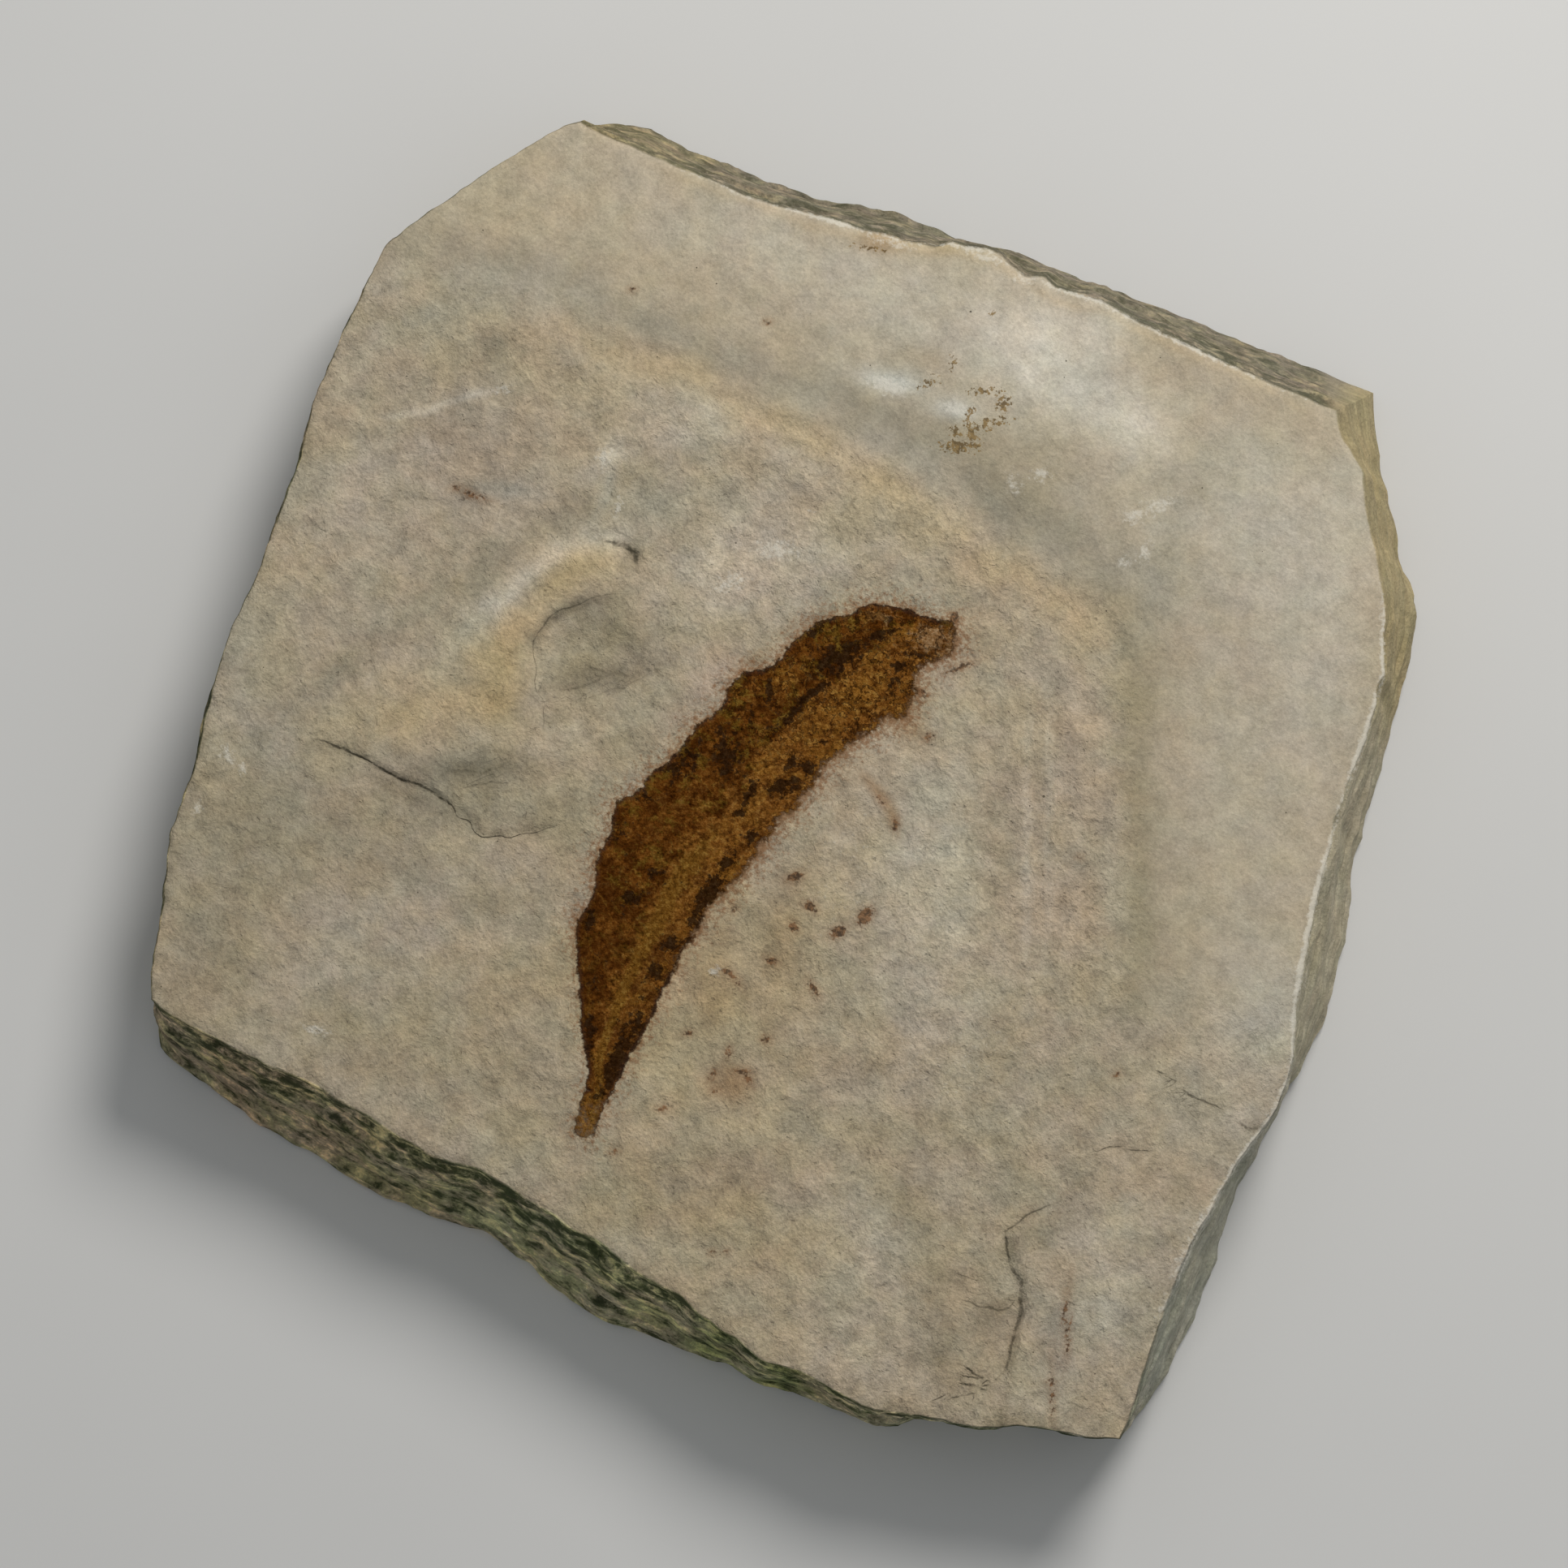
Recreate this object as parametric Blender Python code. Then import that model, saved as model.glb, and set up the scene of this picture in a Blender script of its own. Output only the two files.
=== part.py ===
"""Fossil leaf plate: a broken slab of thinly bedded shale with one carbonised leaf in its upper face.

The slab lies on z = 0 with its fossil face up, and the origin is under the middle of its box. Seen from
above, +X is to the right and +Y is towards the slab's back edge. Lengths are in millimetres until a mesh
is made, and in metres from there on.
"""

import bmesh
import bpy
import numpy as np

MM = 0.001

# Driving dimensions of the slab
THICKNESS = 13.0
GRID_CELLS = 40

# The broken sides: the heights where one bed ends and the next begins, how far a bed may stand back from
# its neighbours, how much a ledge drops from one to the next, and the chamfer at the foot
BED_HEIGHTS = (11.3, 8.9, 6.8, 4.1, 1.9)
BED_RECESS = 0.7
BED_LEDGE_FALL = 0.25
FOOT_CHAMFER = 0.7

# The waves that make each bed come and go round the rim: how many, how far they shift from bed to bed
# in radians, and their strength
BED_WAVES = (
    (3, 2.1, 1.0),
    (8, 4.3, 0.7),
    (19, 1.7, 0.6),
)
BED_WAVE_REACH = 1.6
RIM_HEADING_SPAN = 3

# The rim of the fossil face, read clockwise from the front left corner. Each point is x, y and how far
# the foot of the broken side lies from it along x and y.
LEFT_RIM = (
    (-59.0, -24.5, -0.6, -0.5),
    (-59.0, -21.5, -0.5, 0.0),
    (-58.0, -14.5, -0.5, 0.0),
    (-57.5, -8.0, -0.5, 0.0),
    (-55.5, -2.5, -1.0, 0.0),
    (-54.5, 2.5, -1.0, 0.0),
    (-52.5, 10.5, -0.5, 0.0),
    (-50.0, 16.0, -0.5, 0.5),
    (-48.0, 22.0, -1.0, 0.5),
    (-46.0, 27.5, -1.0, 0.5),
    (-45.0, 33.0, -0.5, 0.0),
    (-42.5, 39.0, -0.5, 0.5),
    (-39.5, 46.0, -1.0, 0.5),
    (-38.5, 48.0, -1.0, 0.5),
    (-34.5, 51.0, -0.5, 1.0),
    (-28.0, 55.5, -0.5, 1.0),
    (-20.5, 60.0, 0.5, 3.5),
)
BACK_RIM = (
    (-20.5, 60.0, 0.5, 3.5),
    (-18.0, 58.5, 1.5, 6.0),
    (-14.5, 57.0, 2.0, 5.5),
    (-10.5, 55.0, 2.5, 5.5),
    (-3.5, 52.5, 2.0, 5.0),
    (4.0, 50.0, 1.5, 5.5),
    (9.5, 48.5, 1.5, 6.0),
    (16.0, 47.5, 1.0, 4.5),
    (20.5, 45.5, 2.0, 5.0),
    (27.0, 43.0, 2.0, 5.0),
    (32.0, 40.0, 2.5, 5.5),
    (38.5, 37.5, 2.5, 5.5),
    (44.5, 34.5, 3.0, 6.0),
    (50.5, 31.5, 4.5, 5.5),
)
RIGHT_RIM = (
    (50.5, 31.5, 4.5, 5.5),
    (51.5, 28.5, 4.5, 2.0),
    (53.0, 24.0, 4.0, 1.0),
    (53.5, 19.0, 4.0, 0.5),
    (54.5, 14.0, 4.5, 0.5),
    (55.0, 11.0, 4.5, 0.0),
    (54.5, 7.5, 3.0, 0.0),
    (53.5, 4.5, 2.5, -0.5),
    (52.5, 0.0, 2.5, -0.5),
    (50.5, -6.0, 2.5, -1.0),
    (49.0, -11.5, 3.0, -1.0),
    (47.0, -17.5, 4.0, -1.0),
    (46.0, -23.5, 3.5, -0.5),
    (45.5, -29.0, 1.0, 0.0),
    (43.0, -35.0, 0.0, 0.0),
    (41.0, -37.5, 1.0, -0.5),
    (39.0, -41.5, 1.5, -0.5),
    (36.5, -46.5, 2.0, -1.0),
    (34.0, -52.0, 2.5, -1.0),
    (32.0, -58.0, 2.0, -0.5),
    (29.5, -64.5, 1.0, 2.5),
)
FRONT_RIM = (
    (29.5, -64.5, 1.0, 2.5),
    (26.5, -64.5, 0.0, 2.0),
    (19.0, -63.5, 0.0, 2.0),
    (10.5, -62.5, 0.0, 1.5),
    (6.5, -61.5, 0.0, 0.0),
    (3.0, -59.5, -0.5, -0.5),
    (-3.5, -57.0, -0.5, -0.5),
    (-7.5, -53.5, -1.0, -1.5),
    (-10.0, -51.0, -2.0, -3.0),
    (-13.5, -49.5, -2.0, -3.0),
    (-18.0, -46.0, -3.0, -4.0),
    (-22.5, -43.5, -2.0, -3.5),
    (-26.0, -41.5, -1.5, -3.0),
    (-30.0, -39.5, -1.5, -3.5),
    (-36.5, -36.5, -2.0, -4.0),
    (-41.0, -33.5, -2.0, -4.0),
    (-45.5, -31.0, -2.0, -4.0),
    (-51.0, -28.5, -1.5, -3.0),
    (-57.5, -26.0, -1.0, -1.5),
    (-59.0, -24.5, -0.6, -0.5),
)

# The soft step between the smooth outer band and the lower middle of the face. The band is on the
# left of the line's direction, and the step fades towards the front.
BAND_STEP = (
    (-48.0, 44.0),
    (-36.5, 45.5),
    (-25.0, 42.0),
    (-13.5, 36.0),
    (1.5, 29.0),
    (15.0, 22.5),
    (20.5, 18.0),
    (29.5, 11.5),
    (30.0, 1.0),
    (30.0, -14.0),
    (29.5, -40.0),
)
BAND_DROP = 1.0
BAND_DROP_WIDTH = (0.5, 5.0)
BAND_FADE_Y = (-34.0, -20.0)
LIP_HEIGHT = 0.45
LIP_OFFSET = -2.6
LIP_WIDTH = 2.2

# The raised flake: its sharp scarp has the flake on its left, and its soft flank has it on its right.
FLAKE_SCARP = (
    (-44.5, 0.5),
    (-41.5, -0.5),
    (-37.0, -3.0),
    (-31.5, -5.5),
    (-29.0, -8.5),
    (-26.5, -8.5),
    (-21.5, -7.5),
    (-23.0, 0.0),
    (-24.5, 9.0),
    (-23.5, 11.5),
    (-20.0, 13.3),
    (-16.0, 14.5),
    (-14.0, 17.0),
)
FLAKE_FLANK = (
    (-46.0, 1.0),
    (-40.0, 7.0),
    (-34.0, 11.5),
    (-27.0, 16.5),
    (-20.0, 19.5),
    (-13.0, 20.0),
)
FLAKE_HEIGHT = 0.9
SCARP_WIDTH = 1.2
FLANK_WIDTH = (-5.0, 2.0)
FLAKE_LEFT_FADE = (-46.0, -40.0)
FLAKE_RIGHT_FADE = (-18.0, -13.0)
HOLLOW_CENTRE = (-19.0, 8.0)
HOLLOW_RADII = (5.5, 4.0)
HOLLOW_DEPTH = 0.6

# The step at the front right: the raised side is on the left of the line's direction.
CORNER_STEP = (
    (24.0, -43.5),
    (19.2, -45.6),
    (20.5, -51.5),
    (19.0, -58.5),
    (17.5, -67.0),
)
CORNER_STEP_HEIGHT = 0.6
CORNER_STEP_WIDTH = 1.2
CORNER_STEP_REACH = 14.0
CORNER_STEP_FADE_Y = (-47.0, -42.0)

# Long gentle swells of the bedding plane: length, direction in degrees, phase in degrees, height
SWELLS = (
    (71.0, 20.0, 40.0, 0.12),
    (47.0, 75.0, 160.0, 0.10),
    (33.0, 130.0, 300.0, 0.07),
    (24.0, 50.0, 220.0, 0.05),
)

# The leaf, from the end of its stalk to its tip
LEAF_LEFT_MARGIN = (
    (-20.1, -36.8),
    (-19.5, -34.0),
    (-19.1, -31.0),
    (-19.2, -28.0),
    (-19.8, -24.0),
    (-19.9, -17.5),
    (-18.9, -13.5),
    (-16.8, -7.8),
    (-13.5, -3.4),
    (-9.0, 1.8),
    (-4.5, 6.8),
    (-0.3, 9.3),
    (2.6, 11.6),
    (6.6, 13.0),
    (9.5, 13.2),
    (12.0, 12.1),
    (14.9, 12.0),
)
LEAF_RIGHT_MARGIN = (
    (-19.4, -37.0),
    (-17.2, -33.3),
    (-15.4, -29.8),
    (-12.3, -22.9),
    (-9.4, -17.3),
    (-5.8, -12.3),
    (-1.3, -7.0),
    (1.8, -2.9),
    (5.2, 0.7),
    (9.8, 3.7),
    (13.3, 7.2),
    (14.4, 9.4),
    (15.0, 11.3),
)
LEAF_THICKNESS = 0.5
LEAF_CELLS_LONG = 44
LEAF_CELLS_WIDE = 4
POCKET_CELLS_WIDE = 2
POCKET_GAP = 0.3
POCKET_HEADROOM = 2.0

STONE_COLOUR = (0.33, 0.28, 0.20, 1.0)
STONE_ROUGHNESS = 0.9
LEAF_COLOUR = (0.09, 0.03, 0.008, 1.0)
LEAF_ROUGHNESS = 0.65

CURVE_STEPS = 12


def clear_scene():
    """Take everything out of the scene."""
    for old in list(bpy.data.objects):
        bpy.data.objects.remove(old, do_unlink=True)


def plain_material(name, colour, roughness):
    """A Principled material of one colour."""
    material = bpy.data.materials.new(name)
    material.use_nodes = True
    shader = material.node_tree.nodes["Principled BSDF"]
    shader.inputs["Base Color"].default_value = colour
    shader.inputs["Roughness"].default_value = roughness
    shader.inputs["Metallic"].default_value = 0.0
    return material


def mesh_object(name, points, faces, material=None):
    """A named object whose mesh has the given points, in millimetres, with its faces pointing out."""
    mesh = bpy.data.meshes.new(name)
    mesh.from_pydata((np.asarray(points) * MM).tolist(), [], faces)
    shape = bmesh.new()
    shape.from_mesh(mesh)
    bmesh.ops.recalc_face_normals(shape, faces=shape.faces)
    shape.to_mesh(mesh)
    shape.free()
    made = bpy.data.objects.new(name, mesh)
    bpy.context.scene.collection.objects.link(made)
    if material:
        mesh.materials.append(material)
    return made


def evenly_along(points, count):
    """The given number of points at even lengths along a line of straight runs."""
    points = np.asarray(points, dtype=float)
    runs = np.linalg.norm(np.diff(points[:, :2], axis=0), axis=1)
    along = np.concatenate([[0.0], np.cumsum(runs)])
    wanted = np.linspace(0.0, along[-1], count)
    return np.stack([np.interp(wanted, along, column) for column in points.T], axis=1)


def smooth_curve(points, count):
    """The given number of points at even lengths along a Catmull-Rom curve through a line's points."""
    points = np.asarray(points, dtype=float)
    ends = np.vstack([2 * points[0] - points[1], points, 2 * points[-1] - points[-2]])
    share = np.linspace(0.0, 1.0, CURVE_STEPS, endpoint=False)[:, None]
    runs = []
    for before, start, stop, after in zip(ends, ends[1:], ends[2:], ends[3:]):
        linear = stop - before
        square = 2 * before - 5 * start + 4 * stop - after
        cube = 3 * (start - stop) + after - before
        runs.append(start + 0.5 * (linear * share + square * share**2 + cube * share**3))
    return evenly_along(np.vstack(runs + [points[-1:]]), count)


def ramp(value, low, high):
    """0 below low, 1 above high, and a smooth rise between them."""
    share = np.clip((value - low) / (high - low), 0.0, 1.0)
    return share * share * (3.0 - 2.0 * share)


def side_distance(x, y, line):
    """The distance from a line of straight runs, positive on the left of its direction."""
    nearest = np.full(np.shape(x), np.inf)
    signed = np.zeros(np.shape(x))
    for (start_x, start_y), (stop_x, stop_y) in zip(line, line[1:]):
        run_x = stop_x - start_x
        run_y = stop_y - start_y
        share = ((x - start_x) * run_x + (y - start_y) * run_y) / (run_x**2 + run_y**2)
        share = np.clip(share, 0.0, 1.0)
        away = np.hypot(x - start_x - share * run_x, y - start_y - share * run_y)
        side = np.sign(run_x * (y - start_y) - run_y * (x - start_x))
        closer = away < nearest
        nearest = np.where(closer, away, nearest)
        signed = np.where(closer, away * side, signed)
    return signed


def band_relief(x, y):
    """The smooth outer band stands above the middle of the face, which has a low lip along the step."""
    from_step = side_distance(x, y, BAND_STEP)
    strength = ramp(y, *BAND_FADE_Y)
    band = BAND_DROP * (ramp(from_step, *BAND_DROP_WIDTH) * strength - 1.0)
    lip = LIP_HEIGHT * np.exp(-(((from_step - LIP_OFFSET) / LIP_WIDTH) ** 2))
    return band + strength * lip


def flake_relief(x, y):
    """The raised flake at the left, sharp along its scarp and soft on its flank, and the hollow by it."""
    sharp = ramp(side_distance(x, y, FLAKE_SCARP), 0.0, SCARP_WIDTH)
    soft = ramp(-side_distance(x, y, FLAKE_FLANK), *FLANK_WIDTH)
    ends = ramp(x, *FLAKE_LEFT_FADE) * (1.0 - ramp(x, *FLAKE_RIGHT_FADE))
    across = (x - HOLLOW_CENTRE[0]) / HOLLOW_RADII[0]
    along = (y - HOLLOW_CENTRE[1]) / HOLLOW_RADII[1]
    hollow = HOLLOW_DEPTH * np.exp(-(across**2) - along**2)
    return FLAKE_HEIGHT * sharp * soft * ends - hollow


def corner_relief(x, y):
    """The raised sheet at the front right, which thins out away from its step."""
    from_step = side_distance(x, y, CORNER_STEP)
    edge = ramp(from_step, 0.0, CORNER_STEP_WIDTH)
    thinning = np.exp(-((np.maximum(from_step, 0.0) / CORNER_STEP_REACH) ** 2))
    return CORNER_STEP_HEIGHT * edge * thinning * (1.0 - ramp(y, *CORNER_STEP_FADE_Y))


def face_height(x, y):
    """The height of the fossil face above the ground, in millimetres."""
    height = THICKNESS + band_relief(x, y) + flake_relief(x, y) + corner_relief(x, y)
    for length, direction, phase, swell in SWELLS:
        turn = np.radians(direction)
        travel = (x * np.cos(turn) + y * np.sin(turn)) / length
        height = height + swell * (np.sin(2 * np.pi * travel + np.radians(phase)) - 1.0)
    return height


def filled_between(left, right, front, back):
    """A Coons patch: rows from front to back of x, y points between four edges that share corners."""
    across = np.linspace(0.0, 1.0, front.shape[0])[None, :, None]
    along = np.linspace(0.0, 1.0, left.shape[0])[:, None, None]
    ruled = (1 - along) * front[None] + along * back[None]
    ruled = ruled + (1 - across) * left[:, None] + across * right[:, None]
    corners = (1 - along) * ((1 - across) * front[0] + across * front[-1])
    corners = corners + along * ((1 - across) * back[0] + across * back[-1])
    return ruled - corners


def grid_faces(rows, columns, first=0):
    """Quads over a grid of points numbered row by row."""
    faces = []
    for row in range(rows - 1):
        for column in range(columns - 1):
            corner = first + row * columns + column
            faces.append((corner, corner + 1, corner + columns + 1, corner + columns))
    return faces


def grid_border(rows, columns):
    """The numbers of a grid's border points, in order round it."""
    front = list(range(columns - 1))
    right = [row * columns + columns - 1 for row in range(rows - 1)]
    back = [rows * columns - 1 - column for column in range(columns - 1)]
    left = [(rows - 1 - row) * columns for row in range(rows - 1)]
    return front + right + back + left


def band_faces(upper, lower):
    """Quads between two closed loops of as many points."""
    after = list(range(1, len(upper))) + [0]
    return [(upper[i], lower[i], lower[j], upper[j]) for i, j in enumerate(after)]


def rim_edges(count):
    """The rim's left, right, front and back edges, each from left to right or from front to back."""
    left = evenly_along(LEFT_RIM, count)
    right = evenly_along(RIGHT_RIM, count)[::-1]
    front = evenly_along(FRONT_RIM, count)[::-1]
    back = evenly_along(BACK_RIM, count)
    return left, right, front, back


def outward_of(loop):
    """Unit vectors pointing out of a closed loop that runs anticlockwise, smoothed over a few points."""
    heading = np.roll(loop, -RIM_HEADING_SPAN, axis=0) - np.roll(loop, RIM_HEADING_SPAN, axis=0)
    heading = heading / np.linalg.norm(heading, axis=1)[:, None]
    return np.column_stack([heading[:, 1], -heading[:, 0]])


def bed_recess(place, bed):
    """How far a bed stands back at a place round the rim: beds come and go along the broken side."""
    wave = np.zeros(len(place))
    for count, shift, strength in BED_WAVES:
        wave += strength * np.sin(2 * np.pi * count * place + shift * bed)
    return BED_RECESS * ramp(wave, -BED_WAVE_REACH, BED_WAVE_REACH)


def side_rings(rim, lean):
    """The broken side's loops from the rim down to the foot, two at each ledge between two beds.

    A loop's height is given for a rim at full thickness, and follows the rim where that is lower.
    """
    place = np.arange(len(rim)) / len(rim)
    outward = outward_of(rim[:, :2])

    def ring(height, inset):
        fall = 1.0 - height / THICKNESS
        flat = rim[:, :2] + lean * fall - outward * inset[:, None]
        return np.column_stack([flat, height * rim[:, 2] / THICKNESS])

    rings = []
    for bed, height in enumerate(BED_HEIGHTS):
        rings.append(ring(height, bed_recess(place, bed)))
        rings.append(ring(height - BED_LEDGE_FALL, bed_recess(place, bed + 1)))
    rings.append(ring(FOOT_CHAMFER, np.zeros(len(rim))))
    rings.append(ring(0.0, np.full(len(rim), FOOT_CHAMFER)))
    return rings


def build_slab(material):
    """The stone: a filled fossil face, broken sides in beds down to the foot, and a flat underside."""
    size = GRID_CELLS + 1
    patch = filled_between(*rim_edges(size)).reshape(-1, 4)
    x, y = patch[:, 0], patch[:, 1]
    points = [np.column_stack([x, y, face_height(x, y)])]
    faces = grid_faces(size, size)
    border = grid_border(size, size)
    upper = border
    for ring in side_rings(points[0][border], patch[border, 2:]):
        first = sum(len(rows) for rows in points)
        lower = list(range(first, first + len(ring)))
        points.append(ring)
        faces += band_faces(upper, lower)
        upper = lower
    faces.append(tuple(upper))
    return mesh_object("stone_slab", np.vstack(points), faces, material)


def grown(margin, amount, side):
    """A margin line moved outwards by an amount, and lengthened by as much at both ends."""
    heading = np.gradient(margin, axis=0)
    heading = heading / np.linalg.norm(heading, axis=1)[:, None]
    away = side * np.column_stack([-heading[:, 1], heading[:, 0]])
    moved = margin + amount * away
    moved[0] -= amount * heading[0]
    moved[-1] += amount * heading[-1]
    return moved


def leaf_body(name, growth, above, below, cells_wide, material=None):
    """A closed sheet over the leaf's outline, from below the fossil face to above it."""
    rows = LEAF_CELLS_LONG + 1
    columns = cells_wide + 1
    left = grown(smooth_curve(LEAF_LEFT_MARGIN, rows), growth, 1.0)
    right = grown(smooth_curve(LEAF_RIGHT_MARGIN, rows), growth, -1.0)
    share = np.linspace(0.0, 1.0, columns)[None, :, None]
    sheet = ((1 - share) * left[:, None] + share * right[:, None]).reshape(-1, 2)
    height = face_height(sheet[:, 0], sheet[:, 1])
    upper = np.column_stack([sheet, height + above])
    lower = np.column_stack([sheet, height - below])
    count = len(sheet)
    faces = grid_faces(rows, columns)
    faces += grid_faces(rows, columns, count)
    border = grid_border(rows, columns)
    faces += band_faces(border, [number + count for number in border])
    return mesh_object(name, np.vstack([upper, lower]), faces, material)


def cut_pocket(slab):
    """Sink a pocket into the slab, a gap wider and deeper than the leaf that lies in it."""
    depth = LEAF_THICKNESS + POCKET_GAP
    cutter = leaf_body("leaf_pocket_cutter", POCKET_GAP, POCKET_HEADROOM, depth, POCKET_CELLS_WIDE)
    cutter.hide_render = True
    cutter.display_type = "WIRE"
    pocket = slab.modifiers.new("leaf pocket", "BOOLEAN")
    pocket.operation = "DIFFERENCE"
    pocket.solver = "EXACT"
    pocket.object = cutter


def main():
    """Build the stone with a pocket in its face, then the leaf that lies flush in the pocket."""
    clear_scene()
    stone = plain_material("pale shale", STONE_COLOUR, STONE_ROUGHNESS)
    carbon = plain_material("brown carbon film", LEAF_COLOUR, LEAF_ROUGHNESS)
    slab = build_slab(stone)
    cut_pocket(slab)
    leaf_body("leaf_film", 0.0, 0.0, LEAF_THICKNESS, LEAF_CELLS_WIDE, carbon)


main()
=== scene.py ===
"""Fossil leaf plate: the finished look of a broken slab of pale shale that carries one carbonised leaf.

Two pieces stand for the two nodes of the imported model: the slab, one closed mesh with its relief, broken
beds and worn rim, and the leaf, a thin film on the fossil face. Sizes and places are in millimetres, with
+X to the right, +Y towards the back edge, +Z up and the origin under the middle, and MM turns them into
metres where a mesh is made.
"""

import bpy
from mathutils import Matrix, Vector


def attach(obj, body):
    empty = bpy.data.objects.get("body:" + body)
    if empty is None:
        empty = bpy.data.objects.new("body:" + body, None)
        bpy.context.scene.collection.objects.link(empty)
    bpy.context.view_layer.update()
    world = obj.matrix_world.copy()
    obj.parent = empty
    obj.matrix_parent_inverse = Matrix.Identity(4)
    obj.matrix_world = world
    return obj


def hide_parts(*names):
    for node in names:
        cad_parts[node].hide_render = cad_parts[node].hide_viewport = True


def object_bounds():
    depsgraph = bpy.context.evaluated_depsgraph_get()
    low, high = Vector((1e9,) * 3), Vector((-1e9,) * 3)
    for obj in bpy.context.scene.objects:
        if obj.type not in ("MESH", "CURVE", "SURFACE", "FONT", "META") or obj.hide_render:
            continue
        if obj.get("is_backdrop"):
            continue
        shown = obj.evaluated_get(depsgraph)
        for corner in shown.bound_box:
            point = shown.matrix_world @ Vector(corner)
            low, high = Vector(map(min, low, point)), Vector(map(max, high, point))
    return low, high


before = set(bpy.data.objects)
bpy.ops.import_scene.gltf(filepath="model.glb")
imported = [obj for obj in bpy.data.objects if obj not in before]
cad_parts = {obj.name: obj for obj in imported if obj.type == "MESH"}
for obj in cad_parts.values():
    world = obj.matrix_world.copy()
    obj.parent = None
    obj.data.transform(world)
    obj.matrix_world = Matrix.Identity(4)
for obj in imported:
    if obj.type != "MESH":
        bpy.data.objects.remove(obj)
CAD_BOX = [list(corner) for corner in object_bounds()]

import logging
from dataclasses import dataclass
from enum import Enum
from typing import Any, Union

import bpy
import numpy as np
from mathutils import Matrix, Vector

MM = 0.001
BODY = "root"

Array = np.ndarray
Material = bpy.types.Material
NodeTree = bpy.types.NodeTree
Object = bpy.types.Object
Socket = bpy.types.NodeSocket
Fields = dict[str, Array]
Line = tuple[tuple[float, ...], ...]
Pair = tuple[float, float]
Triple = tuple[float, float, float]
Value = Union["Wire", float, tuple[float, ...]]
Inputs = dict[Union[str, int], Value]

log = logging.getLogger("fossil_leaf_plate")

# How much of a surface's own colour reaches the picture under the key light, face up
FACE_LIGHT = 0.86

# Large odd numbers that mix whole numbers well, and how many directions the mixed ones choose from
MIXERS = (374761393, 668265263, 1442695041, 1274126177)
DIRECTIONS = 65536

# What stands for no crack near, in crack widths, and for no brown spot near, in millimetres
FAR_FROM_CRACK = 99
FAR_FROM_SPOT = 9


# Curves and soft steps


def ramp(value: Array, low: float, high: float) -> Array:
    """A smooth step from 0 at low to 1 at high: 3s^2 - 2s^3 of the share s of the way."""
    share = np.clip((value - low) / (high - low), 0, 1)
    return share * share * (3 - 2 * share)


def bell(value: Array, width: float) -> Array:
    """The bump e^-(v/w)^2."""
    return np.exp(-((value / width) ** 2))


def turned_axes(x: Array, y: Array, turn: float) -> tuple[Array, Array]:
    """Places read in axes turned anticlockwise by some degrees."""
    angle = np.radians(turn)
    return x * np.cos(angle) + y * np.sin(angle), y * np.cos(angle) - x * np.sin(angle)


def oval_reach(x: Array, y: Array, centre: Pair, radii: Pair, turn: float) -> Array:
    """How far out places lie in a turned oval: 0 in its middle and 1 on its edge.

    Args:
        x: places to the right.
        y: places to the back.
        centre: the oval's middle.
        radii: its half lengths along and across.
        turn: the direction of its long axis, in degrees from +X.

    Returns:
        The length of the place in the oval's own turned and scaled axes.
    """
    along, across = turned_axes(x - centre[0], y - centre[1], turn)
    return np.hypot(along / radii[0], across / radii[1])


def lengths_along(points: Array) -> Array:
    """How far along a line of straight runs each of its corners lies."""
    runs = np.linalg.norm(np.diff(points[:, :2], axis=0), axis=1)
    return np.concatenate([[0], np.cumsum(runs)])


def evenly_along(points: Line | Array, count: int) -> Array:
    """Points at even lengths along a line of straight runs.

    Args:
        points: the line's corners, with x and y first and anything else after them.
        count: how many points to return.

    Returns:
        The points, each column read at the same lengths along x and y.
    """
    points = np.asarray(points, dtype=float)
    along = lengths_along(points)
    wanted = np.linspace(0, along[-1], count)
    return np.stack([np.interp(wanted, along, column) for column in points.T], axis=1)


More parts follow.
